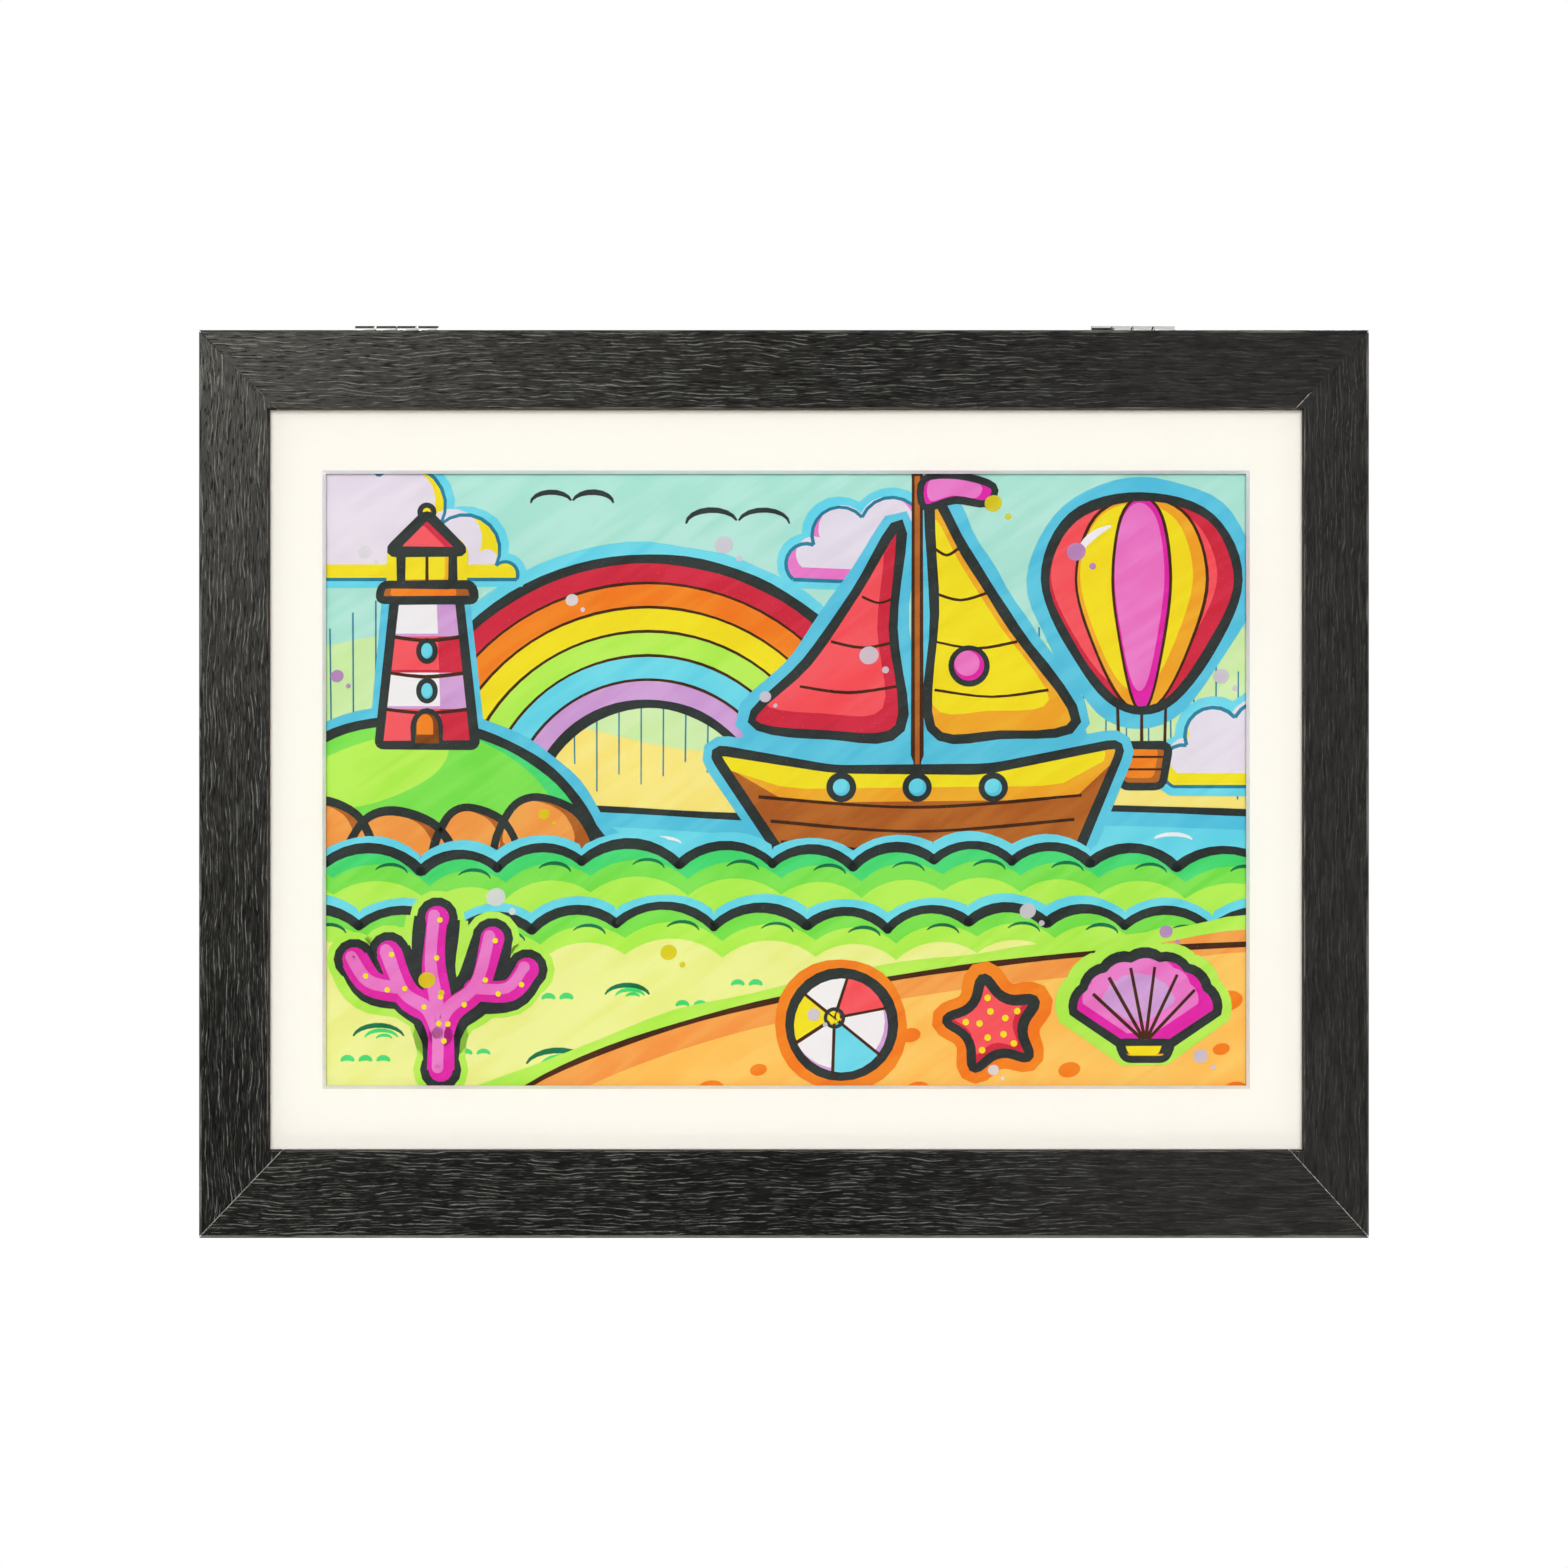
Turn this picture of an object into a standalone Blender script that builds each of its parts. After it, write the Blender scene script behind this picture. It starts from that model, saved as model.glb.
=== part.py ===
"""Front-opening wall frame for children's pictures on A4 paper.

X runs to the right and Z up, as someone facing the frame sees them. The wall plane is y = 0 and
the frame stands out of it towards -Y. A shallow box stays on the wall and holds the sheets. A
mitred door in front of it carries the glazing and the mat, and turns on two hinges along the top.
All sizes are in metres.
"""

import math

import bmesh
import bpy
from mathutils import Matrix

# The A4 sheets that the frame is made round
PAPER_WIDTH = 0.297
PAPER_HEIGHT = 0.210
PAPER_THICKNESS = 0.0003
PAPER_SIDE_CLEARANCE = 0.00125
PAPER_END_CLEARANCE = 0.0015
ARTWORK_SETBACK = 0.0003

# The opening in the door, a little narrower and a little taller than a sheet
SIGHT_SIDE_COVER = 0.0002
SIGHT_END_REVEAL = 0.00125

# Door and box
DOOR_THICKNESS = 0.010
BOX_DEPTH = 0.020
SEAM_GAP = 0.0004
SEAT_GAP = 0.0003
CUT_OVERRUN = 0.002

# Door bars, seen from the front. A toe is how far a mitre lands beyond the stile's own edge.
LEFT_STILE_FACE = 0.0198
RIGHT_STILE_FACE = 0.0186
TOP_RAIL_FACE = 0.0225
BOTTOM_RAIL_FACE = 0.0250
TOP_TOE = 0.0026
BOTTOM_TOE = 0.0041
LIP_THICKNESS = 0.004
REBATE_WIDTH = 0.005
EDGE_CHAMFER = 0.0006
MITRE_GAP = 0.0003

# Sheets in the door
GLAZING_THICKNESS = 0.002
MAT_THICKNESS = 0.0016
MAT_SIDE_BORDER = 0.0146
MAT_END_BORDER = 0.0171
MAT_BEVEL = 0.0008
REBATE_CLEARANCE = 0.0005

# Back panel
PANEL_THICKNESS = 0.003
PANEL_REBATE_WIDTH = 0.006

# Elastic bands, bent back into kerfs in the front of the box rails
BAND_WIDTH = 0.008
BAND_THICKNESS = 0.0008
BAND_TAIL_DEPTH = 0.006
KERF_WALL = 0.0016

# Framer's points, driven into the sides of the door's rebate
POINT_WIDTH = 0.009
POINT_LENGTH = 0.012
POINT_THICKNESS = 0.0006
POINT_BURIED_SHARE = 0.5
POINT_SPREAD_SHARE = 0.25

# Corner nails: bent steel strips across the back of each mitre
CORNER_NAIL_LEG = 0.0055
CORNER_NAIL_THICKNESS = 0.0006
CORNER_NAIL_DEPTH = 0.005
CORNER_NAIL_INSET = 0.006

# Hinges
HINGE_LENGTH = 0.024
HINGE_LEFT_INSET = 0.0555
HINGE_RIGHT_INSET = 0.0665
HINGE_KNUCKLES = 4
KNUCKLE_GAP = 0.0003
BARREL_RADIUS = 0.00155
HINGE_PIN_RADIUS = 0.00062
HINGE_BORE_RADIUS = 0.00070
LEAF_THICKNESS = 0.0008
LEAF_REACH = 0.0070
LEAF_SINK = 0.0005
LEAF_TAB_CLEARANCE = 0.0003
TAB_INSET = 0.0001
HINGE_SCREW_END_INSET = 0.005

# Countersunk screws
HINGE_SCREW_HEAD_RADIUS = 0.0018
HINGE_SCREW_SHANK_RADIUS = 0.0009
HINGE_SCREW_HEAD_HEIGHT = 0.0009
HINGE_SCREW_LENGTH = 0.0085
PANEL_SCREW_HEAD_RADIUS = 0.0026
PANEL_SCREW_SHANK_RADIUS = 0.0013
PANEL_SCREW_HEAD_HEIGHT = 0.0013
PANEL_SCREW_LENGTH = 0.0120
SCREW_CLEARANCE = 0.0003
SCREW_HEAD_SINK = 0.0002
SLOT_WIDTH = 0.0005
SLOT_DEPTH = 0.0004
PANEL_SCREW_EDGE = 0.0032
PANEL_SCREW_SPREAD_SHARE = 0.32

# Magnets in the box and steel discs in the door
MAGNET_RADIUS = 0.004
MAGNET_THICKNESS = 0.002
STRIKE_RADIUS = 0.0045
STRIKE_THICKNESS = 0.001
MAGNET_SIDE_INSET = 0.0675
MAGNET_HEIGHT = 0.011

# Sawtooth wall hanger in a pocket behind the top rail
HANGER_LENGTH = 0.046
HANGER_HEIGHT = 0.009
HANGER_THICKNESS = 0.0008
HANGER_TAB = 0.008
HANGER_BOW = 0.0014
HANGER_TEETH = 9
HANGER_TOOTH_DEPTH = 0.0015
HANGER_TOP_EDGE = 0.0035
HANGER_POCKET_DEPTH = 0.0045
HANGER_POCKET_MARGIN = 0.0020
HANGER_NAIL_RADIUS = 0.0007
HANGER_NAIL_HEAD_RADIUS = 0.0014
HANGER_NAIL_HEAD = 0.0005
HANGER_NAIL_LENGTH = 0.008

ROUND_SEGMENTS = 20
SMALL_SEGMENTS = 12

# Places worked out from the sizes above
SIGHT_WIDTH = PAPER_WIDTH - 2 * SIGHT_SIDE_COVER
SIGHT_HEIGHT = PAPER_HEIGHT + 2 * SIGHT_END_REVEAL
FRAME_WIDTH = LEFT_STILE_FACE + SIGHT_WIDTH + RIGHT_STILE_FACE
FRAME_HEIGHT = BOTTOM_RAIL_FACE + SIGHT_HEIGHT + TOP_RAIL_FACE
MAT_WINDOW_WIDTH = SIGHT_WIDTH - 2 * MAT_SIDE_BORDER
MAT_WINDOW_HEIGHT = SIGHT_HEIGHT - 2 * MAT_END_BORDER
LEFT = -FRAME_WIDTH / 2
RIGHT = FRAME_WIDTH / 2
BOTTOM = -FRAME_HEIGHT / 2
TOP = FRAME_HEIGHT / 2

SIGHT_LEFT = LEFT + LEFT_STILE_FACE
SIGHT_RIGHT = RIGHT - RIGHT_STILE_FACE
SIGHT_BOTTOM = BOTTOM + BOTTOM_RAIL_FACE
SIGHT_TOP = TOP - TOP_RAIL_FACE
SIGHT_X = (SIGHT_LEFT + SIGHT_RIGHT) / 2
SIGHT_Z = (SIGHT_BOTTOM + SIGHT_TOP) / 2

INSIDE_LEFT = SIGHT_X - PAPER_WIDTH / 2 - PAPER_SIDE_CLEARANCE
INSIDE_RIGHT = SIGHT_X + PAPER_WIDTH / 2 + PAPER_SIDE_CLEARANCE
INSIDE_BOTTOM = SIGHT_Z - PAPER_HEIGHT / 2 - PAPER_END_CLEARANCE
INSIDE_TOP = SIGHT_Z + PAPER_HEIGHT / 2 + PAPER_END_CLEARANCE

BOX_FRONT = -BOX_DEPTH
DOOR_BACK = BOX_FRONT - SEAM_GAP
DOOR_FRONT = DOOR_BACK - DOOR_THICKNESS
LIP_BACK = DOOR_FRONT + LIP_THICKNESS

HINGE_Y = (BOX_FRONT + DOOR_BACK) / 2
HINGE_Z = TOP - LEAF_SINK + BARREL_RADIUS
HINGE_CENTRES = {"left": LEFT + HINGE_LEFT_INSET, "right": RIGHT - HINGE_RIGHT_INSET}

HANGER_Z = TOP - HANGER_TOP_EDGE - HANGER_HEIGHT / 2
HANGER_FLOOR = -HANGER_POCKET_DEPTH
PAPER_REST = INSIDE_BOTTOM + SEAT_GAP

# Each screw as its head radius, shank radius, head height and length
HINGE_SCREW = (
    HINGE_SCREW_HEAD_RADIUS,
    HINGE_SCREW_SHANK_RADIUS,
    HINGE_SCREW_HEAD_HEIGHT,
    HINGE_SCREW_LENGTH,
)
PANEL_SCREW = (
    PANEL_SCREW_HEAD_RADIUS,
    PANEL_SCREW_SHANK_RADIUS,
    PANEL_SCREW_HEAD_HEIGHT,
    PANEL_SCREW_LENGTH,
)

BLACK_FOIL = ("black_foil", (0.030, 0.030, 0.028), 0.55, 0.0)
ACRYLIC = ("clear_acrylic", (0.90, 0.93, 0.93), 0.05, 0.0)
CREAM_BOARD = ("cream_board", (0.93, 0.90, 0.80), 0.85, 0.0)
PAPER = ("white_paper", (0.92, 0.92, 0.90), 0.80, 0.0)
BROWN_BOARD = ("brown_board", (0.32, 0.20, 0.11), 0.75, 0.0)
STEEL = ("bright_steel", (0.62, 0.62, 0.63), 0.30, 1.0)
MAGNET_METAL = ("magnet_metal", (0.70, 0.70, 0.72), 0.20, 1.0)
BLACK_ELASTIC = ("black_elastic", (0.02, 0.02, 0.02), 0.90, 0.0)


def clear_scene():
    for item in list(bpy.data.objects):
        bpy.data.objects.remove(item, do_unlink=True)


def new_collection(name):
    collection = bpy.data.collections.new(name)
    bpy.context.scene.collection.children.link(collection)
    return collection


def get_material(finish):
    name, colour, roughness, metallic = finish
    material = bpy.data.materials.get(name)
    if material is None:
        material = bpy.data.materials.new(name)
        material.use_nodes = True
        shader = material.node_tree.nodes["Principled BSDF"]
        shader.inputs["Base Color"].default_value = (*colour, 1)
        shader.inputs["Roughness"].default_value = roughness
        shader.inputs["Metallic"].default_value = metallic
    return material


def mesh_from(shape):
    mesh = bpy.data.meshes.new("shape")
    bmesh.ops.recalc_face_normals(shape, faces=shape.faces)
    shape.to_mesh(mesh)
    shape.free()
    return mesh


def box_mesh(low, high):
    """A box between two corners, given as (x, y, z)."""
    shape = bmesh.new()
    bmesh.ops.create_cube(shape, size=1)
    size = [b - a for a, b in zip(low, high)]
    middle = [(a + b) / 2 for a, b in zip(low, high)]
    bmesh.ops.scale(shape, vec=size, verts=shape.verts)
    bmesh.ops.translate(shape, vec=middle, verts=shape.verts)
    return mesh_from(shape)


def prism_mesh(outline, low, high, along):
    """An outline drawn across one axis and pushed along it from low to high.

    Along X the outline holds (y, z), along Y (x, z) and along Z (x, y).
    """
    place = {
        "X": lambda a, b, t: (t, a, b),
        "Y": lambda a, b, t: (a, t, b),
        "Z": lambda a, b, t: (a, b, t),
    }[along]
    shape = bmesh.new()
    face = shape.faces.new([shape.verts.new(place(a, b, low)) for a, b in outline])
    grown = bmesh.ops.extrude_face_region(shape, geom=[face])
    top = [item for item in grown["geom"] if isinstance(item, bmesh.types.BMVert)]
    bmesh.ops.translate(shape, vec=place(0, 0, high - low), verts=top)
    return mesh_from(shape)


def turned_mesh(profile, segments):
    """A turned shape about Z. The profile holds (radius, height) and starts and ends on the axis."""
    shape = bmesh.new()
    line = [shape.verts.new((radius, 0, height)) for radius, height in profile]
    edges = [shape.edges.new(pair) for pair in zip(line, line[1:])]
    bmesh.ops.spin(
        shape,
        geom=line + edges,
        cent=(0, 0, 0),
        axis=(0, 0, 1),
        angle=math.tau,
        steps=segments,
        use_merge=True,
    )
    bmesh.ops.remove_doubles(shape, verts=shape.verts, dist=SEAT_GAP / ROUND_SEGMENTS)
    return mesh_from(shape)


def rod_mesh(radius, length, segments):
    """A plain round bar on Z, from zero up to its length."""
    return turned_mesh([(0, 0), (radius, 0), (radius, length), (0, length)], segments)


def countersunk_profile(screw, grow=0.0):
    """A screw pointing down -Z with the top of its head at zero, or its hole where it is grown."""
    head_radius, shank_radius, head_height, length = screw
    top = CUT_OVERRUN if grow else 0
    return [
        (0, -length - grow),
        (shank_radius + grow, -length - grow),
        (shank_radius + grow, -head_height),
        (head_radius + grow, 0),
        *([(head_radius + grow, top)] if grow else []),
        (0, top),
    ]


def add_part(name, mesh, finish, at=(0, 0, 0), turn=(0, 0, 0), smooth=False):
    part = bpy.data.objects.new(name, mesh)
    part.location = at
    part.rotation_euler = turn
    if not mesh.materials:
        mesh.materials.append(get_material(finish))
    if smooth:
        mesh.shade_smooth()
        mesh.set_sharp_from_angle(angle=math.radians(35))
    PARTS.objects.link(part)
    return part


def add_cutter(name, mesh, at=(0, 0, 0), turn=(0, 0, 0)):
    cutter = bpy.data.objects.new(name, mesh)
    cutter.location = at
    cutter.rotation_euler = turn
    cutter.hide_render = True
    cutter.display_type = "WIRE"
    CUTTERS.objects.link(cutter)
    return cutter


def cut(part, cutter):
    change = part.modifiers.new("cut " + cutter.name, "BOOLEAN")
    change.operation = "DIFFERENCE"
    change.solver = "EXACT"
    change.object = cutter


def join(part, other):
    change = part.modifiers.new("join " + other.name, "BOOLEAN")
    change.operation = "UNION"
    change.solver = "EXACT"
    change.object = other


def put_under(parts, parent):
    """Hang parts on an empty without moving them."""
    for part in parts:
        place = part.location - parent.location
        part.parent = parent
        part.location = place


# Door bars


def landing_x(side, level):
    """Where a mitre meets the sight edge of its rail."""
    toe = TOP_TOE if level > 0 else BOTTOM_TOE
    if side < 0:
        return SIGHT_LEFT + toe
    return SIGHT_RIGHT - toe


def stile_outline(side):
    """A door stile: its long edges, its two mitres and the small toes beside them."""
    edge = LEFT if side < 0 else RIGHT
    sight = SIGHT_LEFT if side < 0 else SIGHT_RIGHT
    pull = MITRE_GAP * math.sqrt(2)
    outline = []
    for level, corner, rail_face, sight_end in (
        (-1, BOTTOM, BOTTOM_RAIL_FACE, SIGHT_BOTTOM),
        (1, TOP, TOP_RAIL_FACE, SIGHT_TOP),
    ):
        landing = landing_x(side, level)
        reach = edge + (landing - edge) * (rail_face - pull) / rail_face
        end = [(edge, corner - level * pull), (reach, sight_end), (sight, sight_end)]
        outline += end if level < 0 else end[::-1]
    return outline


def rail_outline(level):
    """A door rail: a long trapezoid between the two mitres."""
    edge = BOTTOM if level < 0 else TOP
    sight = SIGHT_BOTTOM if level < 0 else SIGHT_TOP
    return [
        (LEFT, edge),
        (RIGHT, edge),
        (landing_x(1, level), sight),
        (landing_x(-1, level), sight),
    ]


def chamfer_front_edges(mesh, on_edge):
    """Bevel the long front edges that on_edge picks by their middle point."""
    shape = bmesh.new()
    shape.from_mesh(mesh)
    front = min(vert.co.y for vert in shape.verts)
    near = SEAT_GAP / ROUND_SEGMENTS
    picked = []
    for edge in shape.edges:
        if all(abs(vert.co.y - front) < near for vert in edge.verts):
            middle = (edge.verts[0].co + edge.verts[1].co) / 2
            if on_edge(middle, near):
                picked.append(edge)
    bmesh.ops.bevel(
        shape,
        geom=picked,
        offset=EDGE_CHAMFER,
        segments=1,
        affect="EDGES",
        profile=0.5,
        material=-1,
    )
    shape.to_mesh(mesh)
    shape.free()
    return mesh


def build_door_bars():
    rebate = add_cutter(
        "door_rebate",
        box_mesh(
            (SIGHT_LEFT - REBATE_WIDTH, LIP_BACK, SIGHT_BOTTOM - REBATE_WIDTH),
            (SIGHT_RIGHT + REBATE_WIDTH, DOOR_BACK + CUT_OVERRUN, SIGHT_TOP + REBATE_WIDTH),
        ),
    )
    bars = {}
    for name, side in (("door_left_stile", -1), ("door_right_stile", 1)):
        edge = LEFT if side < 0 else RIGHT
        mesh = prism_mesh(stile_outline(side), DOOR_FRONT, DOOR_BACK, "Y")
        chamfer_front_edges(mesh, lambda middle, near, e=edge: abs(middle.x - e) < near)
        bars[name] = add_part(name, mesh, BLACK_FOIL)
    for name, level in (("door_bottom_rail", -1), ("door_top_rail", 1)):
        edge = BOTTOM if level < 0 else TOP
        mesh = prism_mesh(rail_outline(level), DOOR_FRONT, DOOR_BACK, "Y")
        chamfer_front_edges(mesh, lambda middle, near, e=edge: abs(middle.z - e) < near)
        bars[name] = add_part(name, mesh, BLACK_FOIL)
    for bar in bars.values():
        cut(bar, rebate)
    return bars


def build_box_bars():
    """Four deep bars, mitred from the outer corners to the corners of the inside."""
    panel_rebate = add_cutter(
        "panel_rebate",
        box_mesh(
            (
                INSIDE_LEFT - PANEL_REBATE_WIDTH,
                -PANEL_THICKNESS - SEAT_GAP,
                INSIDE_BOTTOM - PANEL_REBATE_WIDTH,
            ),
            (
                INSIDE_RIGHT + PANEL_REBATE_WIDTH,
                CUT_OVERRUN,
                INSIDE_TOP + PANEL_REBATE_WIDTH,
            ),
        ),
    )
    pull = MITRE_GAP * math.sqrt(2)
    outlines = {
        "box_bottom_rail": [
            (LEFT, BOTTOM),
            (RIGHT, BOTTOM),
            (INSIDE_RIGHT, INSIDE_BOTTOM),
            (INSIDE_LEFT, INSIDE_BOTTOM),
        ],
        "box_top_rail": [
            (LEFT, TOP),
            (RIGHT, TOP),
            (INSIDE_RIGHT, INSIDE_TOP),
            (INSIDE_LEFT, INSIDE_TOP),
        ],
        "box_left_rail": [
            (LEFT, BOTTOM + pull),
            (INSIDE_LEFT, INSIDE_BOTTOM + pull),
            (INSIDE_LEFT, INSIDE_TOP - pull),
            (LEFT, TOP - pull),
        ],
        "box_right_rail": [
            (RIGHT, BOTTOM + pull),
            (INSIDE_RIGHT, INSIDE_BOTTOM + pull),
            (INSIDE_RIGHT, INSIDE_TOP - pull),
            (RIGHT, TOP - pull),
        ],
    }
    bars = {}
    for name, outline in outlines.items():
        mesh = prism_mesh(outline, BOX_FRONT, 0, "Y")
        bars[name] = add_part(name, mesh, BLACK_FOIL)
        cut(bars[name], panel_rebate)
    return bars


# Sheets, panel and bands


def build_glazing():
    inset = REBATE_WIDTH - REBATE_CLEARANCE
    front = LIP_BACK + SEAT_GAP
    mesh = box_mesh(
        (SIGHT_LEFT - inset, front, SIGHT_BOTTOM - inset),
        (SIGHT_RIGHT + inset, front + GLAZING_THICKNESS, SIGHT_TOP + inset),
    )
    return add_part("glazing_sheet", mesh, ACRYLIC)


def mat_front():
    return LIP_BACK + SEAT_GAP + GLAZING_THICKNESS + SEAT_GAP


def build_mat():
    """The mat board, its window bevelled so that it narrows towards the back."""
    inset = REBATE_WIDTH - REBATE_CLEARANCE
    front = mat_front()
    back = front + MAT_THICKNESS
    mesh = box_mesh(
        (SIGHT_LEFT - inset, front, SIGHT_BOTTOM - inset),
        (SIGHT_RIGHT + inset, back, SIGHT_TOP + inset),
    )
    mat = add_part("mat_board", mesh, CREAM_BOARD)
    shape = bmesh.new()
    rings = []
    for depth in (front - CUT_OVERRUN, back + CUT_OVERRUN):
        grow = (front - depth) * MAT_BEVEL / MAT_THICKNESS
        half_width = MAT_WINDOW_WIDTH / 2 + grow
        half_height = MAT_WINDOW_HEIGHT / 2 + grow
        corners = ((-1, -1), (1, -1), (1, 1), (-1, 1))
        rings.append(
            [
                shape.verts.new((SIGHT_X + a * half_width, depth, SIGHT_Z + b * half_height))
                for a, b in corners
            ]
        )
    for ring in rings:
        shape.faces.new(ring)
    bmesh.ops.bridge_loops(shape, edges=list(shape.edges))
    window = add_cutter("mat_window", mesh_from(shape))
    cut(mat, window)
    return mat


def build_papers():
    left = SIGHT_X - PAPER_WIDTH / 2
    right = SIGHT_X + PAPER_WIDTH / 2
    front = BOX_FRONT + ARTWORK_SETBACK
    behind = front + PAPER_THICKNESS + SEAT_GAP
    sheet = box_mesh(
        (left, front, PAPER_REST),
        (right, front + PAPER_THICKNESS, PAPER_REST + PAPER_HEIGHT),
    )
    pile = box_mesh(
        (left, behind, PAPER_REST),
        (right, -PANEL_THICKNESS - SEAT_GAP, PAPER_REST + PAPER_HEIGHT),
    )
    return [
        add_part("artwork_sheet", sheet, PAPER),
        add_part("stored_sheets", pile, PAPER),
    ]


def build_panel():
    inset = PANEL_REBATE_WIDTH - REBATE_CLEARANCE
    mesh = box_mesh(
        (INSIDE_LEFT - inset, -PANEL_THICKNESS, INSIDE_BOTTOM - inset),
        (INSIDE_RIGHT + inset, 0, INSIDE_TOP + inset),
    )
    return add_part("back_panel", mesh, BROWN_BOARD)


def band_outline():
    """The band seen from its edge, as (y, z): flat across the paper, its two ends bent back."""
    back = BOX_FRONT - SEAT_GAP
    front = back - BAND_THICKNESS
    tail = BOX_FRONT + BAND_TAIL_DEPTH
    high_in = INSIDE_TOP + KERF_WALL
    high_out = high_in + BAND_THICKNESS
    low_in = INSIDE_BOTTOM - KERF_WALL
    low_out = low_in - BAND_THICKNESS
    return [
        (front, low_out),
        (tail, low_out),
        (tail, low_in),
        (back, low_in),
        (back, high_in),
        (tail, high_in),
        (tail, high_out),
        (front, high_out),
    ]


def build_bands(bars):
    """Each band crosses the paper between the mat window and the paper's edge."""
    bands = []
    centre = (MAT_WINDOW_WIDTH / 2 + PAPER_WIDTH / 2) / 2
    for side, sign in (("left", -1), ("right", 1)):
        low = SIGHT_X + sign * centre - BAND_WIDTH / 2
        high = low + BAND_WIDTH
        mesh = prism_mesh(band_outline(), low, high, "X")
        bands.append(add_part("elastic_band_" + side, mesh, BLACK_ELASTIC))
        for bar, edge, out in (
            ("box_bottom_rail", INSIDE_BOTTOM - KERF_WALL, -1),
            ("box_top_rail", INSIDE_TOP + KERF_WALL, 1),
        ):
            levels = sorted(
                (edge - out * SEAT_GAP, edge + out * (BAND_THICKNESS + SEAT_GAP))
            )
            kerf = box_mesh(
                (low - SEAT_GAP, BOX_FRONT - CUT_OVERRUN, levels[0]),
                (high + SEAT_GAP, BOX_FRONT + BAND_TAIL_DEPTH + SEAT_GAP, levels[1]),
            )
            cut(bars[bar], add_cutter("kerf_" + side + "_" + bar, kerf))
    return bands


# Small steel pieces


def build_points(bars):
    """Flat points, half driven into the bar and half over the back of the mat."""
    front = mat_front() + MAT_THICKNESS + SEAT_GAP
    back = front + POINT_THICKNESS
    spread = (SIGHT_RIGHT - SIGHT_LEFT) * POINT_SPREAD_SHARE
    buried = POINT_LENGTH * POINT_BURIED_SHARE
    high = SIGHT_TOP + REBATE_WIDTH
    low = SIGHT_BOTTOM - REBATE_WIDTH
    left = SIGHT_LEFT - REBATE_WIDTH
    right = SIGHT_RIGHT + REBATE_WIDTH
    half = POINT_WIDTH / 2
    out = POINT_LENGTH - buried
    places = {
        "point_top_left": ("door_top_rail", SIGHT_X - spread, high, 0, 1),
        "point_top_right": ("door_top_rail", SIGHT_X + spread, high, 0, 1),
        "point_bottom_left": ("door_bottom_rail", SIGHT_X - spread, low, 0, -1),
        "point_bottom_right": ("door_bottom_rail", SIGHT_X + spread, low, 0, -1),
        "point_left": ("door_left_stile", left, SIGHT_Z, -1, 0),
        "point_right": ("door_right_stile", right, SIGHT_Z, 1, 0),
    }
    points = []
    for name, (bar, x, z, across, up) in places.items():
        outline = [
            (-half, buried),
            (half, buried),
            (half, half - out),
            (0, -out),
            (-half, half - out),
        ]
        grown = [
            (-half - SEAT_GAP, buried + SEAT_GAP),
            (half + SEAT_GAP, buried + SEAT_GAP),
            (half + SEAT_GAP, -SEAT_GAP),
            (-half - SEAT_GAP, -SEAT_GAP),
        ]

        def place(line, x=x, z=z, across=across, up=up):
            if up:
                return [(x + a, z + up * b) for a, b in line]
            return [(x + across * b, z + a) for a, b in line]

        mesh = prism_mesh(place(outline), front, back, "Y")
        points.append(add_part(name, mesh, STEEL))
        slot = prism_mesh(place(grown), front - SEAT_GAP, back + SEAT_GAP, "Y")
        cut(bars[bar], add_cutter("slot_" + name, slot))
    return points


def build_corner_nails(stem, bars, back):
    """Bent strips, one leg in each bar, the bend on the mitre and towards the outer corner."""
    nails = []
    leg = CORNER_NAIL_LEG
    thick = CORNER_NAIL_THICKNESS
    grow = SEAT_GAP
    outline = [(0, 0), (leg, 0), (leg, thick), (thick, thick), (thick, leg), (0, leg)]
    grown = [
        (-grow, -grow),
        (leg + grow, -grow),
        (leg + grow, thick + grow),
        (thick + grow, thick + grow),
        (thick + grow, leg + grow),
        (-grow, leg + grow),
    ]
    for level_name, corner_z, up in (("bottom", BOTTOM, 1), ("top", TOP, -1)):
        for side_name, corner_x, across in (("left", LEFT, 1), ("right", RIGHT, -1)):
            name = stem + "_corner_nail_" + level_name + "_" + side_name

            def place(line, x=corner_x, z=corner_z, across=across, up=up):
                start = CORNER_NAIL_INSET
                return [(x + across * (start + a), z + up * (start + b)) for a, b in line]

            sunk = back - SEAT_GAP
            mesh = prism_mesh(place(outline), sunk - CORNER_NAIL_DEPTH, sunk, "Y")
            nails.append(add_part(name, mesh, STEEL))
            front = sunk - CORNER_NAIL_DEPTH - SEAT_GAP
            pocket = prism_mesh(place(grown), front, back + CUT_OVERRUN, "Y")
            cutter = add_cutter("pocket_" + name, pocket)
            cut(bars[level_name], cutter)
            cut(bars[side_name], cutter)
    return nails


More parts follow.
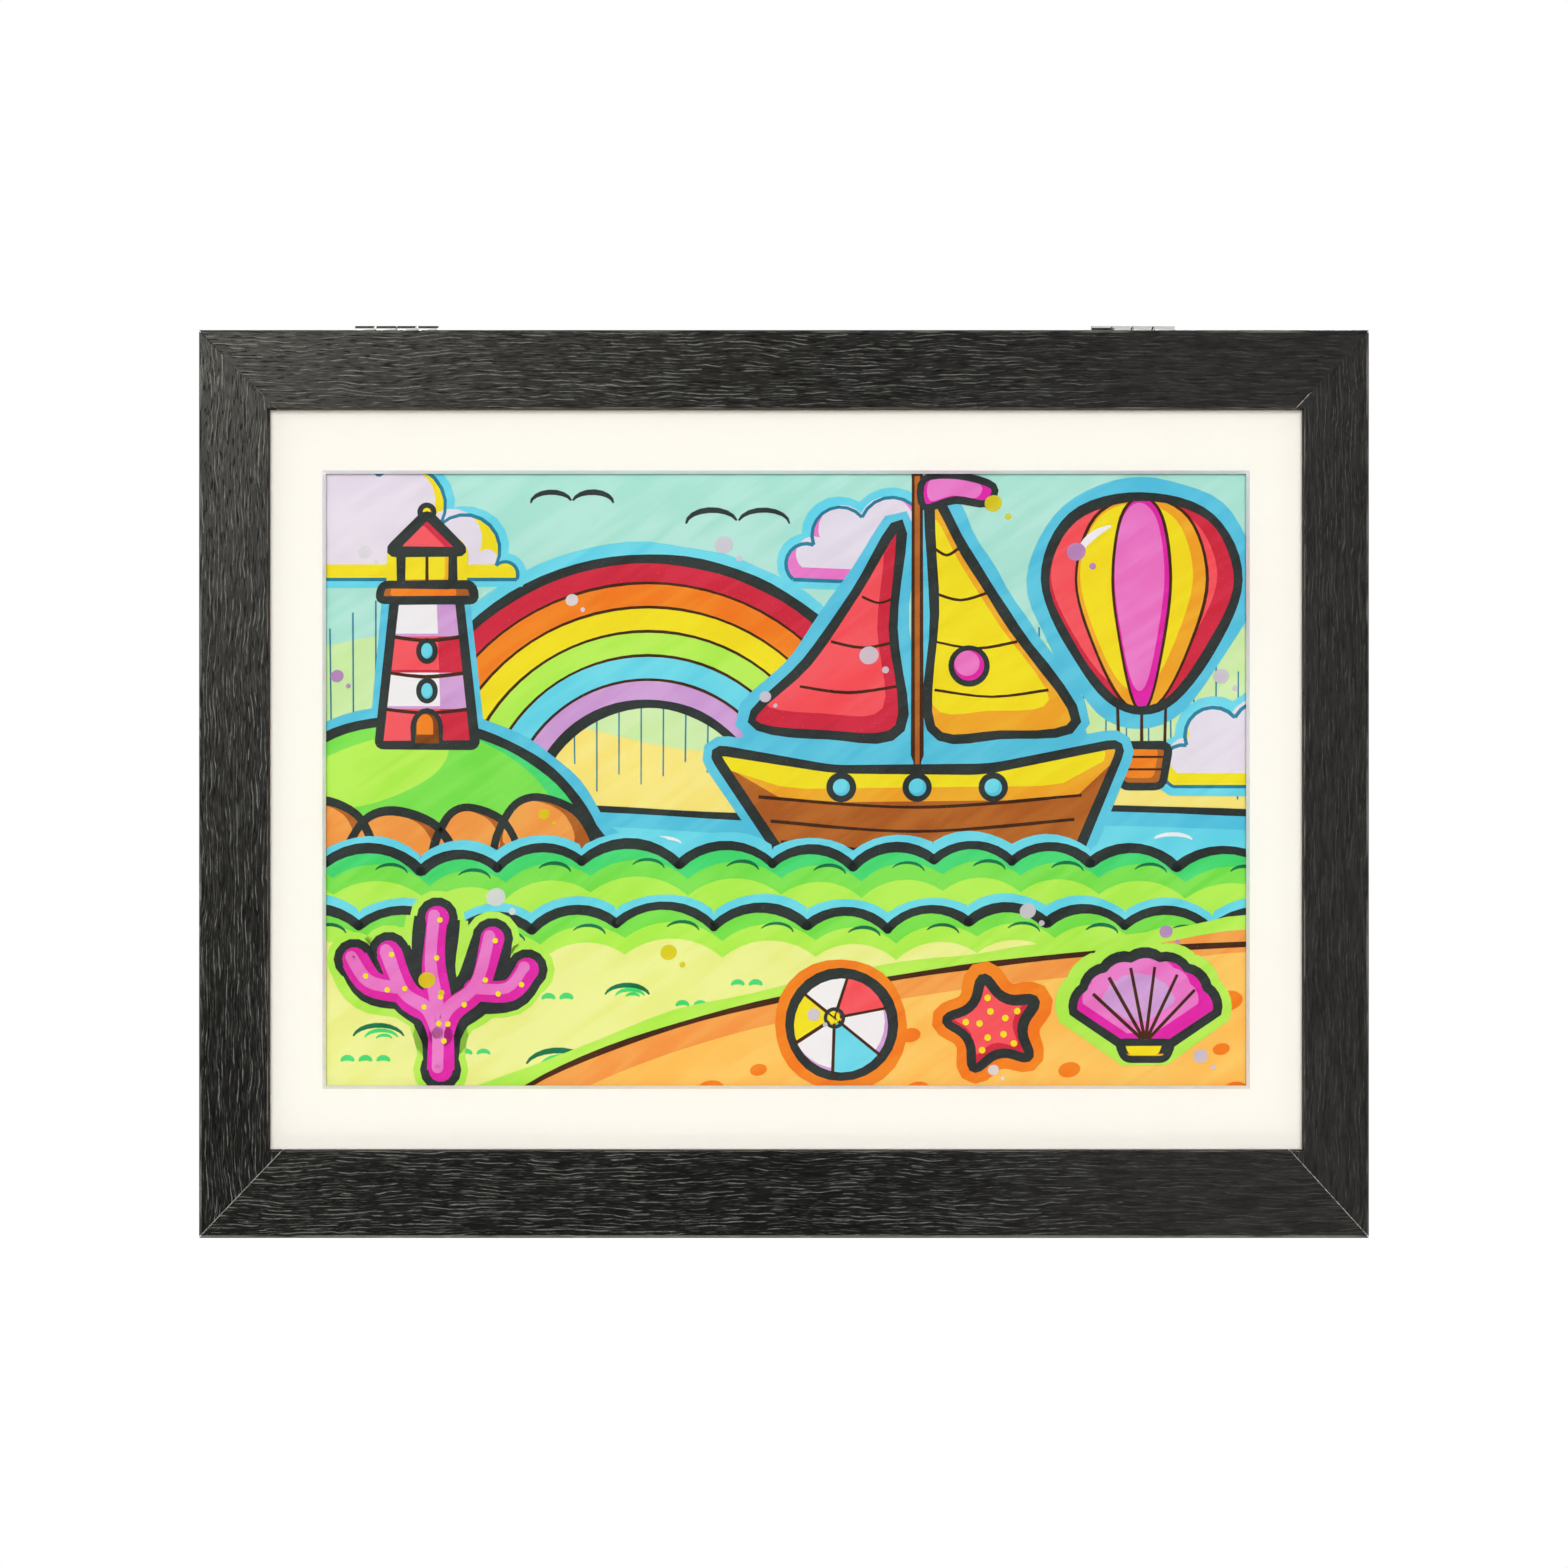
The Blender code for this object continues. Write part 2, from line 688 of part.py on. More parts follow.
def build_magnets(box_rail, door_rail):
    """Magnets let into the front of the box, each facing a steel disc in the back of the door."""
    level = BOTTOM + MAGNET_HEIGHT
    into_box = (math.radians(90), 0, 0)
    strikes = []
    for side, x in (("left", LEFT + MAGNET_SIDE_INSET), ("right", RIGHT - MAGNET_SIDE_INSET)):
        magnet = rod_mesh(MAGNET_RADIUS, MAGNET_THICKNESS, ROUND_SEGMENTS)
        depth = BOX_FRONT + SEAT_GAP + MAGNET_THICKNESS
        at = (x, depth, level)
        add_part("magnet_" + side, magnet, MAGNET_METAL, at, into_box, smooth=True)
        well = rod_mesh(
            MAGNET_RADIUS + SEAT_GAP,
            MAGNET_THICKNESS + SEAT_GAP + CUT_OVERRUN,
            ROUND_SEGMENTS,
        )
        cut(box_rail, add_cutter("magnet_well_" + side, well, (x, depth + SEAT_GAP, level), into_box))

        strike = rod_mesh(STRIKE_RADIUS, STRIKE_THICKNESS, ROUND_SEGMENTS)
        at = (x, DOOR_BACK - SEAT_GAP, level)
        strikes.append(
            add_part("strike_" + side, strike, STEEL, at, into_box, smooth=True)
        )
        well = rod_mesh(
            STRIKE_RADIUS + SEAT_GAP,
            STRIKE_THICKNESS + SEAT_GAP + CUT_OVERRUN,
            ROUND_SEGMENTS,
        )
        start = DOOR_BACK + CUT_OVERRUN - SEAT_GAP
        cut(door_rail, add_cutter("strike_well_" + side, well, (x, start, level), into_box))
    return strikes


# Hinges


def knuckle_span(index):
    """Start and end of one knuckle, measured from the hinge's middle."""
    pitch = (HINGE_LENGTH + KNUCKLE_GAP) / HINGE_KNUCKLES
    start = -HINGE_LENGTH / 2 + index * pitch
    return start, start + pitch - KNUCKLE_GAP


def barrel_piece(radius, start, end, segments):
    """A round piece along X between two places measured from the hinge's middle."""
    shape = bmesh.new()
    bmesh.ops.create_cone(
        shape,
        cap_ends=True,
        segments=segments,
        radius1=radius,
        radius2=radius,
        depth=end - start,
    )
    sideways = Matrix.Rotation(math.radians(90), 3, "Y")
    bmesh.ops.rotate(shape, cent=(0, 0, 0), matrix=sideways, verts=shape.verts)
    bmesh.ops.translate(shape, vec=((start + end) / 2, 0, 0), verts=shape.verts)
    return mesh_from(shape)


def leaf_outline(toward, own):
    """A leaf seen from above, as (x, y), with a tab for each of its own knuckles."""
    half = HINGE_LENGTH / 2
    set_back = toward * (BARREL_RADIUS + LEAF_TAB_CLEARANCE)
    tab_end = toward * BARREL_RADIUS / 4
    line = [(half, toward * LEAF_REACH), (-half, toward * LEAF_REACH), (-half, set_back)]
    for index in range(own, HINGE_KNUCKLES, 2):
        start, end = knuckle_span(index)
        start += TAB_INSET
        end -= TAB_INSET
        line += [(start, set_back), (start, tab_end), (end, tab_end), (end, set_back)]
    return line + [(half, set_back)]


def hinge_leaf(name, toward, own, centre):
    """One leaf with its knuckles. toward is -1 for the door's leaf and 1 for the box's."""
    at = (centre, HINGE_Y, HINGE_Z)
    plate = prism_mesh(
        leaf_outline(toward, own), -BARREL_RADIUS, LEAF_THICKNESS - BARREL_RADIUS, "Z"
    )
    leaf = add_part(name, plate, STEEL, at, smooth=True)
    for index in range(own, HINGE_KNUCKLES, 2):
        knuckle = barrel_piece(BARREL_RADIUS, *knuckle_span(index), ROUND_SEGMENTS)
        join(leaf, add_cutter("knuckle_" + name + "_" + str(index), knuckle, at))
    end = HINGE_LENGTH / 2 + CUT_OVERRUN
    bore = barrel_piece(HINGE_BORE_RADIUS, -end, end, ROUND_SEGMENTS)
    cut(leaf, add_cutter("bore_" + name, bore, at))
    return leaf


def leaf_screw_places(toward, centre):
    """Where the two screws of a leaf stand, on the leaf's upper face."""
    middle = (BARREL_RADIUS + LEAF_TAB_CLEARANCE + LEAF_REACH) / 2
    level = HINGE_Z - BARREL_RADIUS + LEAF_THICKNESS
    aside = HINGE_LENGTH / 2 - HINGE_SCREW_END_INSET
    return [(centre + sign * aside, HINGE_Y + toward * middle, level) for sign in (-1, 1)]


def add_slotted_screw(name, screw, at, turn):
    profile = countersunk_profile(screw)
    part = add_part(name, turned_mesh(profile, SMALL_SEGMENTS), STEEL, at, turn, smooth=True)
    head_radius = screw[0]
    slot = box_mesh(
        (-head_radius - CUT_OVERRUN, -SLOT_WIDTH / 2, -SLOT_DEPTH),
        (head_radius + CUT_OVERRUN, SLOT_WIDTH / 2, CUT_OVERRUN),
    )
    cut(part, add_cutter("slot_" + name, slot, at, turn))
    return part


def add_leaf_and_screws(owner, side, toward, own, rail):
    """A leaf on its rail, with its two screws."""
    centre = HINGE_CENTRES[side]
    leaf = hinge_leaf(owner + "_hinge_leaf_" + side, toward, own, centre)
    pieces = [leaf]
    for number, at in enumerate(leaf_screw_places(toward, centre), 1):
        name = owner + "_hinge_screw_" + side + "_" + str(number)
        hole = turned_mesh(countersunk_profile(HINGE_SCREW, SCREW_CLEARANCE), SMALL_SEGMENTS)
        cutter = add_cutter("hole_" + name, hole, at)
        cut(leaf, cutter)
        cut(rail, cutter)
        pieces.append(add_slotted_screw(name, HINGE_SCREW, at, (0, 0, 0)))
    return pieces


def build_hinges(door_rail, box_rail):
    """Two small butt hinges, their leaves let into the top edges of door and box."""
    door_pieces = []
    half = HINGE_LENGTH / 2 + SEAT_GAP
    reach = LEAF_REACH + SEAT_GAP
    for side, centre in HINGE_CENTRES.items():
        mortise = box_mesh(
            (centre - half, HINGE_Y - reach, TOP - LEAF_SINK - SEAT_GAP),
            (centre + half, HINGE_Y + reach, TOP + CUT_OVERRUN),
        )
        cutter = add_cutter("mortise_" + side, mortise)
        cut(door_rail, cutter)
        cut(box_rail, cutter)
        door_pieces += add_leaf_and_screws("door", side, -1, 0, door_rail)
        add_leaf_and_screws("box", side, 1, 1, box_rail)
        pin = barrel_piece(
            HINGE_PIN_RADIUS, -HINGE_LENGTH / 2, HINGE_LENGTH / 2, ROUND_SEGMENTS
        )
        add_part("hinge_pin_" + side, pin, STEEL, (centre, HINGE_Y, HINGE_Z), smooth=True)
    return door_pieces


# Rear


def build_panel_screws(panel, bars):
    """Screws near the panel's edge, from behind into the floor of its rebate."""
    from_behind = (math.radians(-90), 0, 0)
    spread = (INSIDE_RIGHT - INSIDE_LEFT) * PANEL_SCREW_SPREAD_SHARE
    screws = []
    for level_name, level in (
        ("bottom", INSIDE_BOTTOM - PANEL_SCREW_EDGE),
        ("top", INSIDE_TOP + PANEL_SCREW_EDGE),
    ):
        for side, sign in (("left", -1), ("right", 1)):
            name = "panel_screw_" + level_name + "_" + side
            at = (SIGHT_X + sign * spread, -SCREW_HEAD_SINK, level)
            hole = turned_mesh(countersunk_profile(PANEL_SCREW, SCREW_CLEARANCE), SMALL_SEGMENTS)
            cutter = add_cutter("hole_" + name, hole, at, from_behind)
            cut(panel, cutter)
            cut(bars["box_" + level_name + "_rail"], cutter)
            screws.append(add_slotted_screw(name, PANEL_SCREW, at, from_behind))
    return screws


def hanger_outline():
    """The hanger seen from above, as (x, y): two flat tabs and a bowed middle."""
    half = HANGER_LENGTH / 2
    inner = half - HANGER_TAB
    near = HANGER_FLOOR + SEAT_GAP
    far = near + HANGER_BOW
    path = [(-half, near), (-inner, near), (-inner + HANGER_BOW, far)]
    path += [(-x, y) for x, y in reversed(path)]
    return path + [(x, y + HANGER_THICKNESS) for x, y in reversed(path)]


def build_hanger(rail):
    """A sawtooth hanger on two nails, in a pocket behind the top rail."""
    low = HANGER_Z - HANGER_HEIGHT / 2
    high = HANGER_Z + HANGER_HEIGHT / 2
    half = HANGER_LENGTH / 2
    margin = HANGER_POCKET_MARGIN
    pocket = box_mesh(
        (-half - margin, HANGER_FLOOR, low - margin),
        (half + margin, CUT_OVERRUN, high + SEAT_GAP),
    )
    cut(rail, add_cutter("hanger_pocket", pocket))
    mesh = prism_mesh(hanger_outline(), low, high, "Z")
    hanger = add_part("wall_hanger", mesh, STEEL)

    toothed = HANGER_LENGTH - 2 * (HANGER_TAB + HANGER_BOW)
    pitch = toothed / HANGER_TEETH
    teeth = [(-toothed / 2, low - CUT_OVERRUN)]
    for index in range(HANGER_TEETH):
        start = -toothed / 2 + index * pitch
        teeth.append((start, low))
        teeth.append((start + pitch / 2, low + HANGER_TOOTH_DEPTH))
    teeth.append((toothed / 2, low))
    teeth.append((toothed / 2, low - CUT_OVERRUN))
    saw = prism_mesh(teeth, HANGER_FLOOR, CUT_OVERRUN, "Y")
    cut(hanger, add_cutter("hanger_teeth", saw))

    pieces = [hanger]
    from_behind = (math.radians(-90), 0, 0)
    seat = HANGER_FLOOR + SEAT_GAP + HANGER_THICKNESS + SEAT_GAP
    for side, sign in (("left", -1), ("right", 1)):
        x = sign * (half - HANGER_TAB / 2)
        at = (x, seat, HANGER_Z)
        profile = [
            (0, -HANGER_NAIL_LENGTH),
            (HANGER_NAIL_RADIUS, -HANGER_NAIL_LENGTH + HANGER_NAIL_RADIUS),
            (HANGER_NAIL_RADIUS, 0),
            (HANGER_NAIL_HEAD_RADIUS, 0),
            (HANGER_NAIL_HEAD_RADIUS, HANGER_NAIL_HEAD),
            (0, HANGER_NAIL_HEAD),
        ]
        nail = turned_mesh(profile, SMALL_SEGMENTS)
        pieces.append(
            add_part("hanger_nail_" + side, nail, STEEL, at, from_behind, smooth=True)
        )
        hole = rod_mesh(
            HANGER_NAIL_RADIUS + SEAT_GAP, HANGER_NAIL_LENGTH + SEAT_GAP, SMALL_SEGMENTS
        )
        start = (x, seat - HANGER_NAIL_LENGTH - SEAT_GAP, HANGER_Z)
        cutter = add_cutter("nail_hole_" + side, hole, start, from_behind)
        cut(hanger, cutter)
        cut(rail, cutter)
    return pieces


def build_frame():
    door_bars = build_door_bars()
    box_bars = build_box_bars()
    panel = build_panel()
    door_pieces = [*door_bars.values(), build_glazing(), build_mat()]
    door_pieces += build_points(door_bars)
    build_papers()
    build_bands(box_bars)

    door_corners = {
        "bottom": door_bars["door_bottom_rail"],
        "top": door_bars["door_top_rail"],
        "left": door_bars["door_left_stile"],
        "right": door_bars["door_right_stile"],
    }
    box_corners = {
        "bottom": box_bars["box_bottom_rail"],
        "top": box_bars["box_top_rail"],
        "left": box_bars["box_left_rail"],
        "right": box_bars["box_right_rail"],
    }
    door_pieces += build_corner_nails("door", door_corners, DOOR_BACK)
    build_corner_nails("box", box_corners, 0)

    door_pieces += build_magnets(box_bars["box_bottom_rail"], door_bars["door_bottom_rail"])
    door_pieces += build_hinges(door_bars["door_top_rail"], box_bars["box_top_rail"])
    build_panel_screws(panel, box_bars)
    build_hanger(box_bars["box_top_rail"])

    door_axis = bpy.data.objects.new("door_axis", None)
    door_axis.location = (0, HINGE_Y, HINGE_Z)
    PARTS.objects.link(door_axis)
    put_under(door_pieces, door_axis)


clear_scene()
PARTS = new_collection("childrens_art_frame")
CUTTERS = new_collection("cutters")
build_frame()
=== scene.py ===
import math
import random

import bmesh
import bpy
from mathutils import Matrix, Vector


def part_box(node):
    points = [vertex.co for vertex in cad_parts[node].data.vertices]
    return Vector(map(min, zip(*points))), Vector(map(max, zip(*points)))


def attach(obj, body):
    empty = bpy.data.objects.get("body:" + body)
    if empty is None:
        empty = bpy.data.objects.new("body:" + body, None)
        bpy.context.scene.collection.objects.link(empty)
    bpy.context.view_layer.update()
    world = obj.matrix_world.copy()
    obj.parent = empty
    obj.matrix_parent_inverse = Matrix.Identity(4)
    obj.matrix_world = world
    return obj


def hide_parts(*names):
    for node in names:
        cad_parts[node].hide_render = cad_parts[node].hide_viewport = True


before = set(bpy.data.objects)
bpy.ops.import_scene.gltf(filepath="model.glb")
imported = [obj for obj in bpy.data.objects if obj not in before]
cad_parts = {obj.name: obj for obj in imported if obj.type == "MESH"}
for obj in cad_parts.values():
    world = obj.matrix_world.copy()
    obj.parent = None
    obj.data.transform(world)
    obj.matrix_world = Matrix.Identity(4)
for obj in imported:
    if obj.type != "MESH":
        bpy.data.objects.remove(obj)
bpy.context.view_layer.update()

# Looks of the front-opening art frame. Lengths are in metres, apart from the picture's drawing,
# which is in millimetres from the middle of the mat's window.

MM = 0.001
DOOR = "front_door"
BOX = "back_box"

# Camera and stage
FRONT_FACE_Y = -0.0304
CAMERA_DISTANCE = 0.85
VIEW_WIDTH = 0.4486
SENSOR_WIDTH = 36.0
FLOOR_Z = -0.62
FLOOR_RADIUS = 1.15
WORLD_STRENGTH = 0.08
ROOM_GLOSS = 0.045
WHITE_FROM = 0.75
WHITE = (1.0, 1.0, 1.0)

# Name, place, size, power, colour, and the kind of ray that passes it by
LAMPS = (
    ("key_light", (-0.80, -1.75, 0.65), 0.45, 1.5, WHITE, "visible_glossy"),
    ("sheen_light", (-0.80, -1.75, 0.65), 0.45, 21.0, (1.0, 0.96, 0.85), "visible_diffuse"),
    ("front_light", (0.0, -2.3, 0.20), 0.8, 44.5, WHITE, "visible_glossy"),
    ("rear_light", (0.75, 1.9, 0.85), 0.9, 30.0, WHITE, None),
)

# Finished surfaces of the part
SAME_POINT = 2e-6
FLAT_ANGLE = 0.6
MITRE_RUN = 0.0004
BROAD_FACE = 6e-6
ARRIS = 0.00022
ARRIS_BAND = 0.0008
OUTER_X, OUTER_Z = 0.1670, 0.1295
SIGHT_EDGE_Y = -0.0270
SIGHT = {"left": 0.0198, "right": 0.0186, "top": 0.0225, "bottom": 0.0250}  # width of each bar
TOES = {"top": 0.0026, "bottom": 0.0041}  # how far beside the inner corners the mitres end
FILLER_WIDTH = 0.0003
FILLER_DEPTH = 0.003
FILLER_INSET = 0.00006
SHEETS_SHOWN = 42
SHEET_SHARE = 0.72
SHEET_STRAY = 0.0009

# Materials and their patterns
FOIL_SHINE = 0.18
FOIL_RELIEF = 0.00010
LACQUER = 0.60
LACQUER_ROUGHNESS = 0.36
ACRYLIC_IOR = 1.49
SCREEN_WIRES = 2 * math.pi / 0.0028
ELASTIC_RIBS = 6280.0
ELASTIC_ROWS = 9420.0
KNUCKLE_LENGTH = 0.006
HINGE_TOP = 0.1326
LEFT_JOINT = -0.118
RIGHT_JOINT = 0.095
ROW_SHIFT = 7.31
SLOW_WAVE = 0.0045
QUICK_WAVE = 0.0011
LIGHT_SHARE = 0.36
BOLD_DASHES = {"pitch": 0.00108, "thick": 0.14, "dash": 105, "share": 0.465, "seed": 1.7}
LIGHT_DASHES = {"pitch": 0.00076, "thick": 0.15, "dash": 150, "share": 0.46, "seed": 5.3}

# Picture
PICTURE_X = 0.6
PICTURE_Z = 1.25
SHEET_FACE = -19.70
LAYER_STEP = 0.011
FILM = 0.004
LINE = 2.8
MERGE_AT = 0.0004
SLIVER = 0.0002
THIN = 0.85
LEFT_END, RIGHT_END, LOW_END, HIGH_END = -146.0, 146.0, -103.0, 101.0

INKS = {
    "outline": "343b3a",
    "bark": "4b2a18",
    "teal_line": "2d86a3",
    "leaf_line": "18794f",
    "sky_pale": "b9e8dc",
    "sky": "d6efb4",
    "gold_haze": "fbe98a",
    "cyan": "74dcee",
    "deep_cyan": "62cbe6",
    "crimson": "d62f48",
    "coral": "f75c64",
    "yellow": "f5e325",
    "gold": "f3b12f",
    "lime": "bdf05c",
    "green": "86e457",
    "emerald": "4fdc7c",
    "pale_green": "f0f29c",
    "magenta": "e62bb2",
    "pink": "ee82cf",
    "lilac": "d6a6dc",
    "cloud": "e9e0ec",
    "white": "f4f1f4",
    "orange": "f58a25",
    "sand": "fccb68",
    "peach": "f6a653",
    "brown": "b96a2a",
    "dark_brown": "8a4a1c",
}


# Small tools for node trees


def linear(hex_code):
    """A colour written as six hex digits, as the renderer's linear numbers."""
    parts = [int(hex_code[i : i + 2], 16) / 255 for i in (0, 2, 4)]
    return tuple(p / 12.92 if p < 0.04045 else ((p + 0.055) / 1.055) ** 2.4 for p in parts)


def add(tree, kind, **settings):
    node = tree.nodes.new("ShaderNode" + kind)
    for name, value in settings.items():
        setattr(node, name, value)
    return node


def plug(tree, value, socket):
    """Links a socket, or sets a plain value."""
    if isinstance(value, bpy.types.NodeSocket):
        tree.links.new(value, socket)
    elif socket.type == "RGBA":
        socket.default_value = (*value, 1)
    else:
        socket.default_value = value


def noise(tree, vector, stretch, detail=2.0, roughness=0.5, distortion=0.0):
    """Noise whose grains are 1/stretch long along each axis."""
    mapping = add(tree, "Mapping")
    plug(tree, vector, mapping.inputs["Vector"])
    mapping.inputs["Scale"].default_value = stretch
    grain = add(tree, "TexNoise")
    plug(tree, mapping.outputs["Vector"], grain.inputs["Vector"])
    grain.inputs["Scale"].default_value = 1.0
    grain.inputs["Detail"].default_value = detail
    grain.inputs["Roughness"].default_value = roughness
    grain.inputs["Distortion"].default_value = distortion
    return grain.outputs["Fac"]


def ranged(tree, value, low, high, to_low=0.0, to_high=1.0):
    """A value brought from one range to another, eased at both ends."""
    node = add(tree, "MapRange", interpolation_type="SMOOTHSTEP")
    plug(tree, value, node.inputs["Value"])
    reach = {"From Min": low, "From Max": high, "To Min": to_low, "To Max": to_high}
    for name, number in reach.items():
        node.inputs[name].default_value = number
    return node.outputs["Result"]


def maths(tree, operation, first, second=0.0):
    node = add(tree, "Math", operation=operation)
    plug(tree, first, node.inputs[0])
    plug(tree, second, node.inputs[1])
    return node.outputs["Value"]


def times(tree, first, second):
    return maths(tree, "MULTIPLY", first, second)


def plus(tree, first, second):
    return maths(tree, "ADD", first, second)


def minus(tree, first, second):
    return maths(tree, "SUBTRACT", first, second)


def larger(tree, first, second):
    return maths(tree, "MAXIMUM", first, second)


def axes(tree, vector):
    """The X, Y and Z of a place, by name."""
    split = add(tree, "SeparateXYZ")
    plug(tree, vector, split.inputs["Vector"])
    return split.outputs


def mixed(tree, factor, first, second, blend="MIX"):
    node = add(tree, "Mix", data_type="RGBA", blend_type=blend)
    plug(tree, factor, node.inputs["Factor"])
    plug(tree, first, node.inputs[6])
    plug(tree, second, node.inputs[7])
    return node.outputs[2]


def new_group(name, inputs, outputs):
    """A shader node group with named sockets, given as (name, kind, value)."""
    tree = bpy.data.node_groups.new(name, "ShaderNodeTree")
    for direction, sockets in (("INPUT", inputs), ("OUTPUT", outputs)):
        for socket_name, kind, value in sockets:
            made = tree.interface.new_socket(
                name=socket_name, in_out=direction, socket_type="NodeSocket" + kind
            )
            if value is not None and direction == "INPUT":
                made.default_value = value
    return tree, tree.nodes.new("NodeGroupInput"), tree.nodes.new("NodeGroupOutput")


def use_group(tree, group, **values):
    """Places a group in a material and sets its inputs, with _ for each space in a name."""
    node = add(tree, "Group", node_tree=group)
    for name, value in values.items():
        plug(tree, value, node.inputs[name.replace("_", " ")])
    return node.outputs


def start_material(name, roughness, metallic=0.0, shine=0.5):
    material = bpy.data.materials.new(name)
    material.use_nodes = True
    tree = material.node_tree
    shader = tree.nodes["Principled BSDF"]
    shader.inputs["Roughness"].default_value = roughness
    shader.inputs["Metallic"].default_value = metallic
    shader.inputs["Specular IOR Level"].default_value = shine
    place = add(tree, "TexCoord").outputs["Object"]
    return material, tree, shader, place


def emboss(tree, shader, height, depth, strength=1.0):
    """Pressed-in relief, as deep as depth."""
    bump = add(tree, "Bump")
    bump.inputs["Strength"].default_value = strength
    bump.inputs["Distance"].default_value = depth
    plug(tree, height, bump.inputs["Height"])
    plug(tree, bump.outputs["Normal"], shader.inputs["Normal"])


def blend_shaders(tree, factor, first, second, last_node):
    """Mixes two shaders into the surface of the tree's last node."""
    mix = add(tree, "MixShader")
    plug(tree, factor, mix.inputs["Fac"])
    plug(tree, first, mix.inputs[1])
    plug(tree, second, mix.inputs[2])
    plug(tree, mix.outputs["Shader"], tree.nodes[last_node].inputs["Surface"])


# Shared effects


def dashed_rows(tree, along, across, pitch, thick, dash, share, seed):
    """Rows of thin dashes: one row each pitch, broken in its own places."""
    place = maths(tree, "DIVIDE", across, pitch)
    row = maths(tree, "FLOOR", place)
    off_line = maths(tree, "ABSOLUTE", minus(tree, maths(tree, "FRACT", place), 0.5))
    where = add(tree, "CombineXYZ")
    plug(tree, times(tree, along, dash), where.inputs["X"])
    plug(tree, times(tree, row, ROW_SHIFT), where.inputs["Y"])
    where.inputs["Z"].default_value = seed
    breaks = noise(tree, where.outputs["Vector"], (1, 1, 1), 1.5, 0.6)
    ink = ranged(tree, breaks, share, share + 0.12)
    edge = minus(tree, off_line, times(tree, ink, thick))
    return times(tree, ranged(tree, edge, -0.10, 0.05, 1.0, 0.0), ink)


def wood_grain_group():
    """Thin wavy dashes along the first axis, as pressed into wood-grain foil."""
    tree, source, out = new_group(
        "wood_grain",
        [("Vector", "Vector", None), ("Amount", "Float", 0.5)],
        [("Streaks", "Float", None), ("Tone", "Float", None), ("Height", "Float", None)],
    )
    vector = source.outputs["Vector"]
    split = axes(tree, vector)
    slow = minus(tree, noise(tree, vector, (38, 55, 55), 1.0), 0.5)
    quick = minus(tree, noise(tree, vector, (170, 420, 420), 1.0), 0.5)
    waver = plus(tree, times(tree, slow, SLOW_WAVE), times(tree, quick, QUICK_WAVE))
    across = plus(tree, plus(tree, split["Y"], split["Z"]), waver)
    ragged = ranged(tree, noise(tree, vector, (480, 1500, 1500), 2.0, 0.6), 0.34, 0.60, 0.30, 1.0)
    bold = times(tree, dashed_rows(tree, split["X"], across, **BOLD_DASHES), ragged)
    light = times(tree, dashed_rows(tree, split["X"], across, **LIGHT_DASHES), ragged)
    fine = noise(tree, vector, (260, 2000, 2000), 1.0, 0.5)
    specks = ranged(tree, fine, 0.57, 0.73, 0.0, 0.14)
    streaks = larger(tree, larger(tree, bold, times(tree, light, LIGHT_SHARE)), specks)
    plug(tree, times(tree, streaks, source.outputs["Amount"]), out.inputs["Streaks"])
    plug(tree, noise(tree, vector, (110, 900, 900), 3.0, 0.65), out.inputs["Tone"])
    pits = ranged(tree, fine, 0.28, 0.44, -0.6, 0.0)
    plug(tree, plus(tree, streaks, pits), out.inputs["Height"])
    return tree


def fibre_group():
    """Soft mottling and short fibres of paper and pressed board."""
    tree, source, out = new_group(
        "fibres",
        [
            ("Vector", "Vector", None),
            ("Dark", "Color", (0, 0, 0, 1)),
            ("Light", "Color", (1, 1, 1, 1)),
            ("Fineness", "Float", 1.0),
        ],
        [("Color", "Color", None), ("Height", "Float", None)],
    )
    finer = add(tree, "VectorMath", operation="SCALE")
    plug(tree, source.outputs["Vector"], finer.inputs[0])
    plug(tree, source.outputs["Fineness"], finer.inputs["Scale"])
    vector = finer.outputs["Vector"]
    mottle = noise(tree, vector, (350, 350, 350), 4.0, 0.65)
    hairs = noise(tree, vector, (2600, 900, 700), 2.0, 0.6, 0.8)
    both = plus(tree, times(tree, mottle, 0.55), times(tree, hairs, 0.45))
    spread = ranged(tree, both, 0.36, 0.64)
    shade_of_board = mixed(tree, spread, source.outputs["Dark"], source.outputs["Light"])
    plug(tree, shade_of_board, out.inputs["Color"])
    plug(tree, both, out.inputs["Height"])
    return tree


def marker_group():
    """Uneven felt-pen ink: slow pooling and faint strokes that overlap."""
    tree, source, out = new_group(
        "marker_ink",
        [("Vector", "Vector", None), ("Color", "Color", (1, 1, 1, 1))],
        [("Color", "Color", None), ("Height", "Float", None)],
    )
    vector = source.outputs["Vector"]
    turn = add(tree, "VectorRotate", rotation_type="Y_AXIS")
    plug(tree, vector, turn.inputs["Vector"])
    turn.inputs["Angle"].default_value = math.radians(34)
    strokes = noise(tree, turn.outputs["Vector"], (26, 1, 210), 2.0, 0.5, 0.4)
    pools = noise(tree, vector, (42, 1, 42), 2.0)
    tooth = noise(tree, vector, (1900, 1, 1900), 1.0)
    wet = plus(tree, times(tree, strokes, 0.6), times(tree, pools, 0.4))
    depth = ranged(tree, wet, 0.40, 0.62, 0.0, 0.34)
    darker = mixed(tree, 1.0, source.outputs["Color"], source.outputs["Color"], "MULTIPLY")
    inked = mixed(tree, depth, source.outputs["Color"], darker)
    speckle = ranged(tree, tooth, 0.62, 0.82, 0.0, 0.10)
    plug(tree, mixed(tree, speckle, inked, (0.93, 0.92, 0.90)), out.inputs["Color"])
    plug(tree, tooth, out.inputs["Height"])
    return tree


